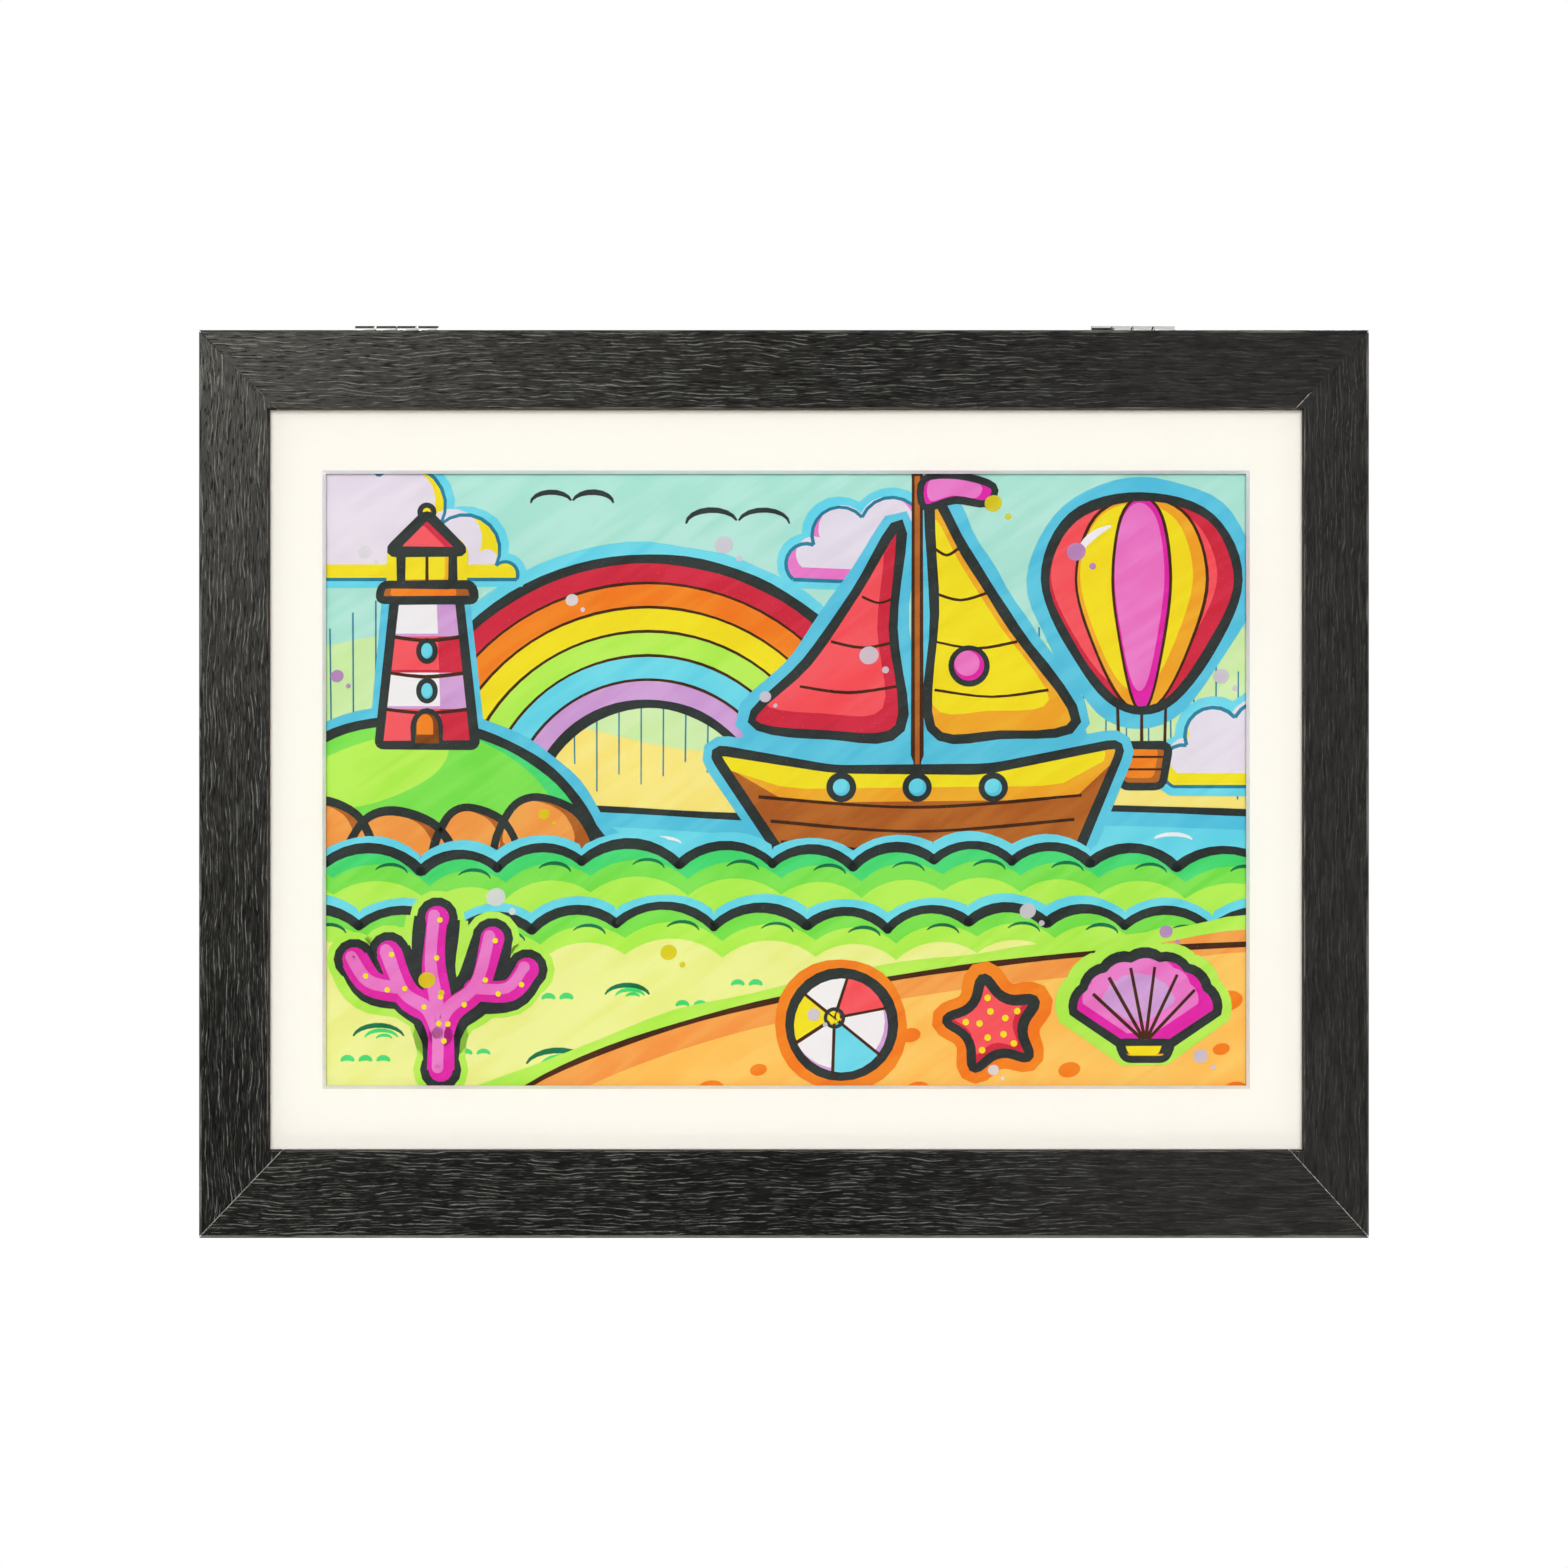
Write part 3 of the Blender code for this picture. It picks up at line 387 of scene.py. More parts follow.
def metal_group():
    """Drawing lines and faint tarnish on plated steel."""
    tree, source, out = new_group(
        "plated_metal",
        [
            ("Vector", "Vector", None),
            ("Bright", "Color", (1, 1, 1, 1)),
            ("Dull", "Color", (0.5, 0.5, 0.5, 1)),
        ],
        [("Color", "Color", None), ("Roughness", "Float", None), ("Height", "Float", None)],
    )
    vector = source.outputs["Vector"]
    lines = noise(tree, vector, (180, 5200, 5200), 2.0)
    spots = noise(tree, vector, (900, 900, 900), 3.0, 0.6)
    worn = ranged(tree, spots, 0.50, 0.76, 0.0, 0.5)
    tarnish = mixed(tree, worn, source.outputs["Bright"], source.outputs["Dull"])
    plug(tree, tarnish, out.inputs["Color"])
    rough = plus(tree, ranged(tree, lines, 0.3, 0.7, 0.20, 0.34), times(tree, worn, 0.12))
    plug(tree, rough, out.inputs["Roughness"])
    plug(tree, lines, out.inputs["Height"])
    return tree


WOOD_GRAIN = wood_grain_group()
FIBRES = fibre_group()
MARKER = marker_group()
METAL = metal_group()


# Materials


def foil_material(name, along, edge_wear_and_highlight=False):
    """Charcoal wood-grain foil, its grain along X, or along Z for the upright bars."""
    material, tree, shader, place = start_material(name, 0.35, shine=FOIL_SHINE)
    split = axes(tree, place)
    if along == "Z":
        swap = add(tree, "CombineXYZ")
        for source, target in ("ZX", "YY", "XZ"):
            plug(tree, split[source], swap.inputs[target])
        place = swap.outputs["Vector"]
    # Painted sheen: the grain is a little fainter towards the top-left, where the sheen light falls. It
    # also grows fainter towards the right.
    faded_by_painted_sheen = ranged(tree, minus(tree, split["Z"], split["X"]), 0.05, 0.28, 1.0, 0.90)
    amount = times(tree, ranged(tree, split["X"], 0.02, 0.13, 1.0, 0.22), faded_by_painted_sheen)
    grain = use_group(tree, WOOD_GRAIN, Vector=place, Amount=amount)
    shades = [linear(h) for h in ("060604", "0f0f0e", "201f1d", "2c2b29")]
    tone = ranged(tree, grain["Tone"], 0.35, 0.65)
    side = ranged(tree, split["X"], 0.0, 0.14)
    base = mixed(tree, side, mixed(tree, tone, *shades[:2]), mixed(tree, tone, *shades[2:]))
    colour = mixed(tree, grain["Streaks"], base, linear("6e6f6a"))
    if edge_wear_and_highlight:
        # Lighter edges: rubbed wear in patches, plus a painted highlight along the lowest edge of the
        # frame.
        patches = noise(tree, place, (55, 260, 260), 2.0, 0.6)
        painted_low_edge_highlight = ranged(tree, split["Z"], -0.1285, -0.1296)
        wear_and_highlight = ranged(tree, plus(tree, patches, times(tree, painted_low_edge_highlight, 0.22)), 0.46, 0.66)
        colour = mixed(tree, times(tree, wear_and_highlight, 0.7), colour, linear("87867e"))
    plug(tree, colour, shader.inputs["Base Color"])
    plug(tree, ranged(tree, grain["Tone"], 0.3, 0.7, 0.30, 0.42), shader.inputs["Roughness"])
    lacquer = ranged(tree, grain["Height"], -0.45, 0.35, 0.0, LACQUER)
    plug(tree, lacquer, shader.inputs["Coat Weight"])
    shader.inputs["Coat Roughness"].default_value = LACQUER_ROUGHNESS
    emboss(tree, shader, grain["Height"], FOIL_RELIEF, 0.9)
    return material


def fibre_material(name, dark, light, roughness=0.85, depth=0.00003, shine=0.3, fineness=1.0):
    """Paper, board or filler, between two colours."""
    material, tree, shader, place = start_material(name, roughness, shine=shine)
    shades = {"Dark": linear(dark), "Light": linear(light)}
    fibres = use_group(tree, FIBRES, Vector=place, Fineness=fineness, **shades)
    plug(tree, fibres["Color"], shader.inputs["Base Color"])
    emboss(tree, shader, fibres["Height"], depth, 0.6)
    return material


def hardboard_material(name):
    """Brown hardboard, its rough side out: short fibres under the print of the press's wire screen."""
    material, tree, shader, place = start_material(name, 0.72, shine=0.3)
    shades = {"Dark": linear("63432a"), "Light": linear("8c6543")}
    fibres = use_group(tree, FIBRES, Vector=place, Fineness=2.6, **shades)
    split = axes(tree, place)
    wires = [maths(tree, "SINE", times(tree, split[axis], SCREEN_WIRES)) for axis in "XZ"]
    dents = times(tree, *wires)
    stains = ranged(tree, noise(tree, place, (14, 14, 14), 3.0, 0.6), 0.35, 0.7, 0.0, 0.35)
    shaded = mixed(tree, stains, fibres["Color"], linear("5a3d27"))
    dented = mixed(tree, ranged(tree, dents, 0.1, 1.0, 0.0, 0.30), shaded, linear("54371f"))
    plug(tree, dented, shader.inputs["Base Color"])
    rough = minus(tree, fibres["Height"], times(tree, dents, 0.5))
    emboss(tree, shader, rough, 0.00010, 0.8)
    return material


def metal_material(name, bright, dull):
    """Zinc-plated steel, dull enough to show its own grey where the room in front is dark."""
    material, tree, shader, place = start_material(name, 0.3, metallic=0.72)
    metal = use_group(tree, METAL, Vector=place, Bright=linear(bright), Dull=linear(dull))
    plug(tree, metal["Color"], shader.inputs["Base Color"])
    plug(tree, metal["Roughness"], shader.inputs["Roughness"])
    emboss(tree, shader, metal["Height"], 0.00001, 0.4)
    return material


def knuckle_joint(tree, along, first, spacing):
    """How far a place is from the nearest joint between knuckles, in parts of their spacing."""
    count = maths(tree, "DIVIDE", minus(tree, along, first), spacing)
    part = maths(tree, "FRACT", plus(tree, count, 0.5))
    return maths(tree, "ABSOLUTE", minus(tree, part, 0.5))


def hinge_material(name):
    """Plated steel with painted dark marks: a dark reflection along the top of the knuckles, gapped at
    the left hinge's joints, and painted shade in the right hinge's joints and low on its first knuckle.
    """
    material, tree, shader, place = start_material(name, 0.3, metallic=0.35)
    metal = use_group(tree, METAL, Vector=place, Bright=linear("f8f7f2"), Dull=linear("dddbd4"))
    split = axes(tree, place)
    across, height = split["X"], split["Z"]
    slanted = minus(tree, across, times(tree, height, 0.5))
    lean = 0.5 * HINGE_TOP
    # Painted dark reflection: a near-black band along the top of the knuckles.
    top = ranged(tree, height, HINGE_TOP - 0.00084, HINGE_TOP - 0.00074)
    joint = knuckle_joint(tree, slanted, LEFT_JOINT - lean, 2 * KNUCKLE_LENGTH)
    left_painted_dark = times(tree, top, ranged(tree, joint, 0.02, 0.03))
    joint = knuckle_joint(tree, slanted, RIGHT_JOINT - lean, KNUCKLE_LENGTH)
    last_joint = RIGHT_JOINT + 2.5 * KNUCKLE_LENGTH
    before_last = ranged(tree, across, last_joint, last_joint + MM, 1.0, 0.0)
    # Painted shade in the joints between the right hinge's knuckles.
    tick = times(tree, ranged(tree, joint, 0.03, 0.05, 1.0, 0.0), before_last)
    low = ranged(tree, height, HINGE_TOP - 0.00080, HINGE_TOP - 0.00070, 1.0, 0.0)
    short = times(tree, low, ranged(tree, across, RIGHT_JOINT, RIGHT_JOINT + MM, 1.0, 0.0))
    right_painted_dark = larger(tree, tick, larger(tree, short, times(tree, top, 0.22)))
    on_right = maths(tree, "GREATER_THAN", across, 0.0)
    left_painted_dark = times(tree, left_painted_dark, minus(tree, 1.0, on_right))
    painted_dark_reflection_and_shade = plus(tree, left_painted_dark, times(tree, right_painted_dark, on_right))
    # The painted dark reflection and shade are mixed into the colour as near-black, and make the surface
    # rougher there.
    plug(tree, mixed(tree, painted_dark_reflection_and_shade, metal["Color"], linear("0a0a0a")), shader.inputs["Base Color"])
    plug(tree, plus(tree, metal["Roughness"], times(tree, painted_dark_reflection_and_shade, 0.3)), shader.inputs["Roughness"])
    emboss(tree, shader, metal["Height"], 0.00001, 0.4)
    return material


def ink_material(name, alpha=1.0):
    """Marker ink in the colour that the piece's own ink attribute gives each face."""
    material, tree, shader, place = start_material(name, 0.62, shine=0.15)
    pigment = add(tree, "Attribute", attribute_name="ink")
    ink = use_group(tree, MARKER, Vector=place, Color=pigment.outputs["Color"])
    plug(tree, ink["Color"], shader.inputs["Base Color"])
    shader.inputs["Alpha"].default_value = alpha
    if alpha == 1.0:
        emboss(tree, shader, ink["Height"], 0.00002, 0.3)
    return material


def elastic_material(name):
    """Black woven elastic: ribs across the band and rows of warp along it."""
    material, tree, shader, place = start_material(name, 0.85, shine=0.25)
    split = axes(tree, place)
    ribs = maths(tree, "SINE", times(tree, split["Z"], ELASTIC_RIBS))
    rows = maths(tree, "SINE", times(tree, split["X"], ELASTIC_ROWS))
    height = plus(tree, times(tree, times(tree, ribs, rows), 0.5), times(tree, rows, 0.4))
    tone = ranged(tree, height, -0.7, 0.8)
    plug(tree, mixed(tree, tone, linear("111112"), linear("3a3a3d")), shader.inputs["Base Color"])
    emboss(tree, shader, height, 0.00012, 0.8)
    return material


def acrylic_material(name):
    """A clear pane: light goes straight through, and a little is mirrored at a slant."""
    material = bpy.data.materials.new(name)
    material.use_nodes = True
    tree = material.node_tree
    tree.nodes.remove(tree.nodes["Principled BSDF"])
    clear = add(tree, "BsdfTransparent")
    clear.inputs["Color"].default_value = (0.993, 0.995, 0.993, 1)
    gloss = add(tree, "BsdfGlossy")
    gloss.inputs["Roughness"].default_value = 0.02
    fresnel = add(tree, "Fresnel")
    fresnel.inputs["IOR"].default_value = ACRYLIC_IOR
    slant = times(tree, fresnel.outputs["Fac"], 0.6)
    blend_shaders(tree, slant, clear.outputs["BSDF"], gloss.outputs["BSDF"], "Material Output")
    return material


def stage_floor_material(name):
    """Pale floor that fades to white where it ends."""
    material, tree, shader, place = start_material(name, 0.9, shine=0.1)
    shader.inputs["Base Color"].default_value = (0.86, 0.86, 0.85, 1)
    reach = add(tree, "VectorMath", operation="LENGTH")
    plug(tree, place, reach.inputs[0])
    edge = ranged(tree, reach.outputs["Value"], WHITE_FROM, FLOOR_RADIUS)
    glow = add(tree, "Emission").outputs["Emission"]
    blend_shaders(tree, edge, shader.outputs["BSDF"], glow, "Material Output")
    return material


MATERIALS = {
    "foil_rail": foil_material("charcoal_foil_along_rails", "X"),
    "foil_stile": foil_material("charcoal_foil_along_stiles", "Z"),
    "foil_edge_rail": foil_material("foil_edge_wear_and_painted_highlight_rails", "X", True),
    "foil_edge_stile": foil_material("foil_edge_wear_and_painted_highlight_stiles", "Z", True),
    "sight_edge": fibre_material("dark_sight_edge", "2a2826", "3b3835"),
    # The top rail's sight edge: raw board darkened to brown as painted shade under the lip.
    "sight_edge_painted_shade": fibre_material("brown_sight_edge_painted_shade", "3b2a22", "644a3c"),
    "raw_board": fibre_material("raw_fibreboard", "a58059", "c3a077", 0.9, 0.00004, 0.2, 4.0),
    "hardboard": hardboard_material("brown_hardboard"),
    "mat_face": fibre_material("cream_mat_board", "fbf7ee", "fcf8f1", 0.9, 0.00001, 0.1),
    "mat_core": fibre_material("mat_board_core", "f6f4f7", "fdfcfd", 0.9),
    "paper": fibre_material("drawing_paper", "eae9e4", "f6f5f1", 0.85),
    "filler": fibre_material("pale_mitre_filler", "3e3e39", "b0b0a5", 0.7, fineness=2.2),
    "filler_faint": fibre_material("faint_mitre_filler", "2c2c29", "63635c", 0.7, fineness=2.2),
    "filler_stained": fibre_material("stained_mitre_filler", "232321", "363633", 0.7),
    "steel": metal_material("bright_plated_steel", "dcdcd6", "a8a69e"),
    "hinge": hinge_material("hinge_steel_painted_dark_reflection"),
    "dark_steel": metal_material("blued_nail_steel", "9c9b99", "73716e"),
    "magnet": metal_material("plated_magnet", "cfcfd4", "b2b2b8"),
    "elastic": elastic_material("woven_elastic"),
    "acrylic": acrylic_material("clear_acrylic_pane"),
    "ink": ink_material("felt_pen_ink"),
    "clear_ink": ink_material("thin_felt_pen_ink", 0.62),
}


# Finished copies of the CAD nodes: merged, with rounded edges and a material for each kind of face


def merged_copy(node):
    shape = bmesh.new()
    shape.from_mesh(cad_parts[node].data)
    bmesh.ops.remove_doubles(shape, verts=shape.verts, dist=SAME_POINT)
    flat = math.radians(FLAT_ANGLE)
    bmesh.ops.dissolve_limit(shape, angle_limit=flat, verts=shape.verts, edges=shape.edges)
    return shape


def sharp_edges(shape, least=30.0):
    found = []
    for edge in shape.edges:
        if len(edge.link_faces) == 2 and edge.is_convex:
            if math.degrees(edge.calc_face_angle(0.0)) > least:
                found.append(edge)
    return found


def round_edges(shape, edges, size, segments=2):
    made = bmesh.ops.bevel(
        shape,
        geom=edges,
        offset=size,
        offset_type="OFFSET",
        segments=segments,
        profile=0.5,
        affect="EDGES",
        clamp_overlap=True,
        material=-1,
    )
    return made["faces"]


def shade(shape, angle=35.0):
    """Smooth over small curved faces. Broad faces stay flat, so their light is even."""
    for face in shape.faces:
        face.smooth = face.calc_area() < BROAD_FACE
    for edge in shape.edges:
        edge.smooth = len(edge.link_faces) == 2 and edge.calc_face_angle(0.0) < math.radians(angle)


def put_in_scene(shape, name, materials, body):
    mesh = bpy.data.meshes.new(name)
    shape.to_mesh(mesh)
    shape.free()
    piece = bpy.data.objects.new(name, mesh)
    bpy.context.scene.collection.objects.link(piece)
    for material in materials:
        mesh.materials.append(MATERIALS[material])
    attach(piece, body)
    return piece


def finish_bar(node, body, along, faces):
    """A foil-wrapped bar. faces says which are raw board or dark sight edge, by centre and normal. The
    top rail's sight edge is painted shade.
    """
    shape = merged_copy(node)
    front = min(v.co.y for v in shape.verts) + ARRIS_BAND
    outer = [
        edge
        for edge in sharp_edges(shape, 20)
        if all(v.co.y < front for v in edge.verts) and not inner_mitre(edge)
    ]
    worn = round_edges(shape, outer, ARRIS)
    for face in shape.faces:
        face.material_index = faces(face.calc_center_median(), face.normal)
    # The rounded arrises take the edge material: rubbed wear, with a painted highlight along the lowest
    # edge.
    for face in worn:
        if face.is_valid and face.calc_area() > 0 and abs(face.normal.y) > 0.2:
            face.material_index = 1
    shade(shape)
    suffix = "rail" if along == "X" else "stile"
    # The top rail's sight edge gets the brown painted shade, the others the dark edge.
    edge = "sight_edge_painted_shade" if node == "door_top_rail" else "sight_edge"
    materials = ["foil_" + suffix, "foil_edge_" + suffix, edge, "raw_board"]
    piece = put_in_scene(shape, node + "_finished", materials, body)
    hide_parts(node)


def inner_mitre(edge):
    """True for an edge that runs across a corner of the frame."""
    run = edge.verts[1].co - edge.verts[0].co
    return abs(run.x) > MITRE_RUN and abs(run.z) > MITRE_RUN


def on_outline(centre):
    return abs(centre.x) > OUTER_X or abs(centre.z) > OUTER_Z


def door_faces(centre, normal):
    """0 foil, 2 dark sight edge (brown painted shade on the top rail), 3 raw board."""
    if normal.y < -0.3:
        return 0
    square = abs(normal.y) < 0.9 and max(abs(normal.x), abs(normal.z)) > 0.95
    if on_outline(centre) and square:
        return 0
    if abs(normal.y) < 0.3 and centre.y < SIGHT_EDGE_Y:
        return 2
    return 3


def box_faces(centre, normal):
    """0 foil, 3 raw board."""
    if on_outline(centre) and abs(normal.y) < 0.3 or normal.y < -0.9:
        return 0
    return 3


def mat_faces(centre, normal):
    """0 face and back, 1 the bevel and the cut edges."""
    return 1 if abs(normal.y) < 0.97 else 0


def finish_bars():
    for name, body, uprights, faces in (
        ("door_", DOOR, "_stile", door_faces),
        ("box_", BOX, "_rail", box_faces),
    ):
        for side in ("top_rail", "bottom_rail"):
            finish_bar(name + side, body, "X", faces)
        for side in ("left", "right"):
            finish_bar(name + side + uprights, body, "Z", faces)


def finish_node(node, body, materials, rounding, pick=None, least=30.0):
    """A CAD node with rounded edges, in one material or with one picked for each face."""
    shape = merged_copy(node)
    if rounding:
        round_edges(shape, sharp_edges(shape, least), rounding)
    if pick:
        for face in shape.faces:
            face.material_index = pick(face.calc_center_median(), face.normal)
    shade(shape)
    piece = put_in_scene(shape, node + "_finished", materials, body)
    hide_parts(node)


# Height, side, part of the mitre from its outer end, look, and the end of the name
FILLERS = (
    ("bottom", "left", 0.02, 0.99, "filler", ""),
    ("bottom", "right", 0.02, 0.99, "filler", ""),
    ("top", "left", 0.30, 0.99, "filler_faint", ""),
    ("top", "left", 0.02, 0.299, "filler_stained", "_stained"),
    ("top", "right", 0.78, 0.99, "filler", ""),
    ("top", "right", 0.02, 0.779, "filler_stained", "_stained"),
)


def mitre_fillers():
    """Thin lines of filler in the four mitres of the door, set just below its face."""
    edges = {
        "left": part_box("door_left_stile")[0].x,
        "right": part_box("door_right_stile")[1].x,
        "top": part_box("door_top_rail")[1].z,
        "bottom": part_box("door_bottom_rail")[0].z,
    }
    for level, side, first, last, look, ending in FILLERS:
        way_in = 1 if side == "left" else -1
        way_on = -1 if level == "top" else 1
        run = Vector((way_in * (SIGHT[side] + TOES[level]), 0, way_on * SIGHT[level]))
        start = Vector((edges[side], FRONT_FACE_Y + FILLER_INSET, edges[level]))
        width = Vector((0, 0, way_on * FILLER_WIDTH * math.sqrt(2)))
        depth = Vector((0, FILLER_DEPTH, 0))
        ends = ((first + 0.01, 0.04), (last, 0.04), (last - 0.01, 0.9), (first, 0.9))
        shape = bmesh.new()
        near = [shape.verts.new(start + run * t + width * s) for t, s in ends]
        far = [shape.verts.new(corner.co + depth) for corner in near]
        shape.faces.new(near)
        shape.faces.new(far[::-1])
        for i in range(4):
            shape.faces.new((near[i], near[i - 1], far[i - 1], far[i]))
        bmesh.ops.recalc_face_normals(shape, faces=shape.faces)
        name = "mitre_filler_" + level + "_" + side + ending
        put_in_scene(shape, name, [look], DOOR)


def paper_stack():
    """The stored sheets, each a little out of line with the next."""
    low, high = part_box("stored_sheets")
    picks = random.Random(7)
    pitch = (high.y - low.y) / SHEETS_SHOWN
    shape = bmesh.new()
    for number in range(SHEETS_SHOWN):
        made = bmesh.ops.create_cube(shape, size=1.0)["verts"]
        trim = [picks.uniform(0.0, SHEET_STRAY) for _ in range(4)]
        width = high.x - low.x - trim[0] - trim[1]
        height = high.z - low.z - trim[2]
        bmesh.ops.scale(shape, vec=(width, pitch * SHEET_SHARE, height), verts=made)
        across = low.x + trim[0] + width / 2
        middle = (across, low.y + pitch * (number + 0.5), low.z + height / 2)
        bmesh.ops.translate(shape, vec=middle, verts=made)
    piece = put_in_scene(shape, "stored_sheets_stack", ["paper"], BOX)
    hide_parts("stored_sheets")


# Node without its side, body, slot, material, rounding, least angle that is rounded
SMALL_PAIRS = (
    ("door_hinge_leaf_", DOOR, "bright_steel", "hinge", 0.00012, 30.0),
    ("box_hinge_leaf_", BOX, "bright_steel", "hinge", 0.00012, 30.0),
    ("hinge_pin_", BOX, "bright_steel", "dark_steel", 0.00010, 30.0),
    ("elastic_band_", BOX, "black_elastic", "elastic", 0.00018, 40.0),
    ("magnet_", BOX, "magnet_metal", "magnet", 0.00020, 30.0),
    ("strike_", DOOR, "bright_steel", "steel", 0.00015, 30.0),
)


def finish_small_parts():
    finish_node("mat_board", DOOR, ["mat_face", "mat_core"], 0, mat_faces)
    for side in ("left", "right"):
        for node, body, slot, material, rounding, least in SMALL_PAIRS:
            finish_node(node + side, body, [material], rounding, least=least)
    finish_node("back_panel", BOX, ["hardboard"], 0.00020)
    finish_node("wall_hanger", BOX, ["steel"], 0.00008)
    paper_stack()
    colour_plain_nodes()


def colour_plain_nodes():
    """The CAD nodes that are shown as they are."""
    for name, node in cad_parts.items():
        material = {"glazing_sheet": "acrylic", "artwork_sheet": "paper"}.get(name)
        if "screw" in name:
            material = "steel"
        elif "nail" in name or name.startswith("point_"):
            material = "dark_steel"
        if material:
            node.data.materials.clear()
        elif not len(node.data.materials):
            material = "steel"
        if material:
            node.data.materials.append(MATERIALS[material])


# The picture: outlines, fills and lines, laid on the sheet as thin films of ink

DRAWN = []


def arc(x, z, wide, tall, start, end, steps=20):
    """Points on an ellipse, from one angle to another, in degrees."""
    made = []
    for i in range(steps + 1):
        angle = math.radians(start + (end - start) * i / steps)
        made.append((x + wide * math.cos(angle), z + tall * math.sin(angle)))
    return made


def oval(x, z, wide, tall=None, tilt=0.0, steps=28):
    points = arc(0, 0, wide, tall or wide, 0, 360, steps)[:-1]
    c, s = math.cos(math.radians(tilt)), math.sin(math.radians(tilt))
    return [(x + px * c - pz * s, z + px * s + pz * c) for px, pz in points]


def block(x, low, high, wide_low, wide_high):
    """The corners of a symmetrical block, given half its width at either end."""
    return [(x - wide_low, low), (x + wide_low, low), (x + wide_high, high), (x - wide_high, high)]


def between(near, d, t):
    """One coordinate on the Catmull-Rom span between the second and third of four points."""
    before, start, end, after = (point[d] for point in near)
    bend = 2 * before - 5 * start + 4 * end - after
    twist = 3 * start - before - 3 * end + after
    return 0.5 * (2 * start + (end - before) * t + bend * t**2 + twist * t**3)


def smooth(points, closed=True, steps=6):
    """A Catmull-Rom curve through the points."""
    count = len(points)
    made = []
    for i in range(count if closed else count - 1):
        places = [(i + k) % count if closed else min(max(i + k, 0), count - 1) for k in (-1, 0, 1, 2)]
        near = [points[place] for place in places]
        for step in range(steps):
            made.append(tuple(between(near, d, step / steps) for d in (0, 1)))
    if not closed:
        made.append(tuple(points[-1]))
    return made


def rounded(points, radius, steps=4):
    """A closed outline with straight sides and rounded corners."""
    made = []
    for i, corner in enumerate(points):
        here = Vector(corner)
        ends = []
        for other in (points[i - 1], points[(i + 1) % len(points)]):
            way = Vector(other) - here
            ends.append(here + way.normalized() * min(radius, way.length * 0.45))
        for step in range(steps + 1):
            t = step / steps
            point = ends[0] * (1 - t) ** 2 + here * 2 * t * (1 - t) + ends[1] * t**2
            made.append(tuple(point))
    return made


def bumps(points, bulge, steps=9):
    """An arc over each span between the points, to its left."""
    arcs = []
    for start, end in zip(points[:-1], points[1:]):
        a, b = Vector(start), Vector(end)
        chord = b - a
        sagitta = bulge * chord.length
        radius = (chord.length**2 / 4 + sagitta**2) / (2 * sagitta)
        side = Vector((-chord.y, chord.x)).normalized()
        centre = (a + b) / 2 - side * (radius - sagitta)
        first = math.atan2(a.y - centre.y, a.x - centre.x)
        sweep = 2 * math.asin(min(1, chord.length / 2 / radius))
        run = []
        for k in range(steps + 1):
            angle = first - sweep * k / steps
            run.append((centre.x + radius * math.cos(angle), centre.y + radius * math.sin(angle)))
        arcs.append(run)
    return arcs


def joined(arcs):
    return [point for run in arcs for point in run[:-1]] + [arcs[-1][-1]]


def lit(points, share=0.84, shift=(-1.5, 1.5)):
    """The same outline, smaller and moved towards the light."""
    x = sum(p[0] for p in points) / len(points)
    z = sum(p[1] for p in points) / len(points)
    return [(x + (p[0] - x) * share + shift[0], z + (p[1] - z) * share + shift[1]) for p in points]


def paint(points, ink, level):
    DRAWN.append(("fill", points, ink, level, 0.0, True))


def draw(points, level, width=LINE, ink="outline", closed=True, taper=False):
    DRAWN.append(("taper" if taper else "line", points, ink, level, width, closed))
    if not closed and not taper and width > 1.5:
        for end in (points[0], points[-1]):
            paint(oval(*end, width / 2, steps=14), ink, level)


def stroke(points, level, width=LINE, ink="outline"):
    """An open line."""
    draw(points, level, width, ink, False)


def flick(points, level, width, ink):
    """An open line that thins out at both ends."""
    draw(points, level, width, ink, False, True)


def thread(points, level, width=0.9, ink="bark", steps=6):
    """A thin curved line through the points."""
    stroke(smooth(points, False, steps), level, width, ink)


def form(points, dark, light, level, halo=None, width=LINE, share=0.84, shift=(-1.5, 1.5)):
    """A filled shape with a lit part, its outline and sometimes a halo round it."""
    if halo:
        draw(points, level, width + 6.5, halo)
    paint(points, dark, level + 1)
    if light:
        paint(lit(points, share, shift), light, level + 2)
    draw(points, level + 4, width)


def curve_for(item):
    """A flat filled curve, or a round one for a line. Both are closed slabs once meshed."""
    kind, points, _, level, width, closed = item
    curve = bpy.data.curves.new("drawn", "CURVE")
    spline = curve.splines.new("POLY")
    spline.points.add(len(points) - 1)
    wander = random.Random(len(points) * 31 + level)
    phase = wander.uniform(0, 6)
    for i, (x, z) in enumerate(points):
        spline.points[i].co = (x, z, 0, 1)
        swell = 1 + 0.10 * math.sin(phase + (x + z) / 11) + 0.06 * math.sin(phase + (x - z) / 4.3)
        if kind == "taper":
            swell *= 0.25 + 0.85 * math.sin(math.pi * (i + 0.35) / (len(points) - 0.3))
        spline.points[i].radius = swell
    spline.use_cyclic_u = closed
    if kind == "fill":
        curve.dimensions = "2D"
        curve.fill_mode = "BOTH"
        curve.extrude = FILM
    else:
        curve.dimensions = "3D"
        curve.bevel_depth = width / 2
        curve.bevel_resolution = 1
        curve.use_fill_caps = True
    made = bpy.data.objects.new("drawn", curve)
    bpy.context.scene.collection.objects.link(made)
    return made


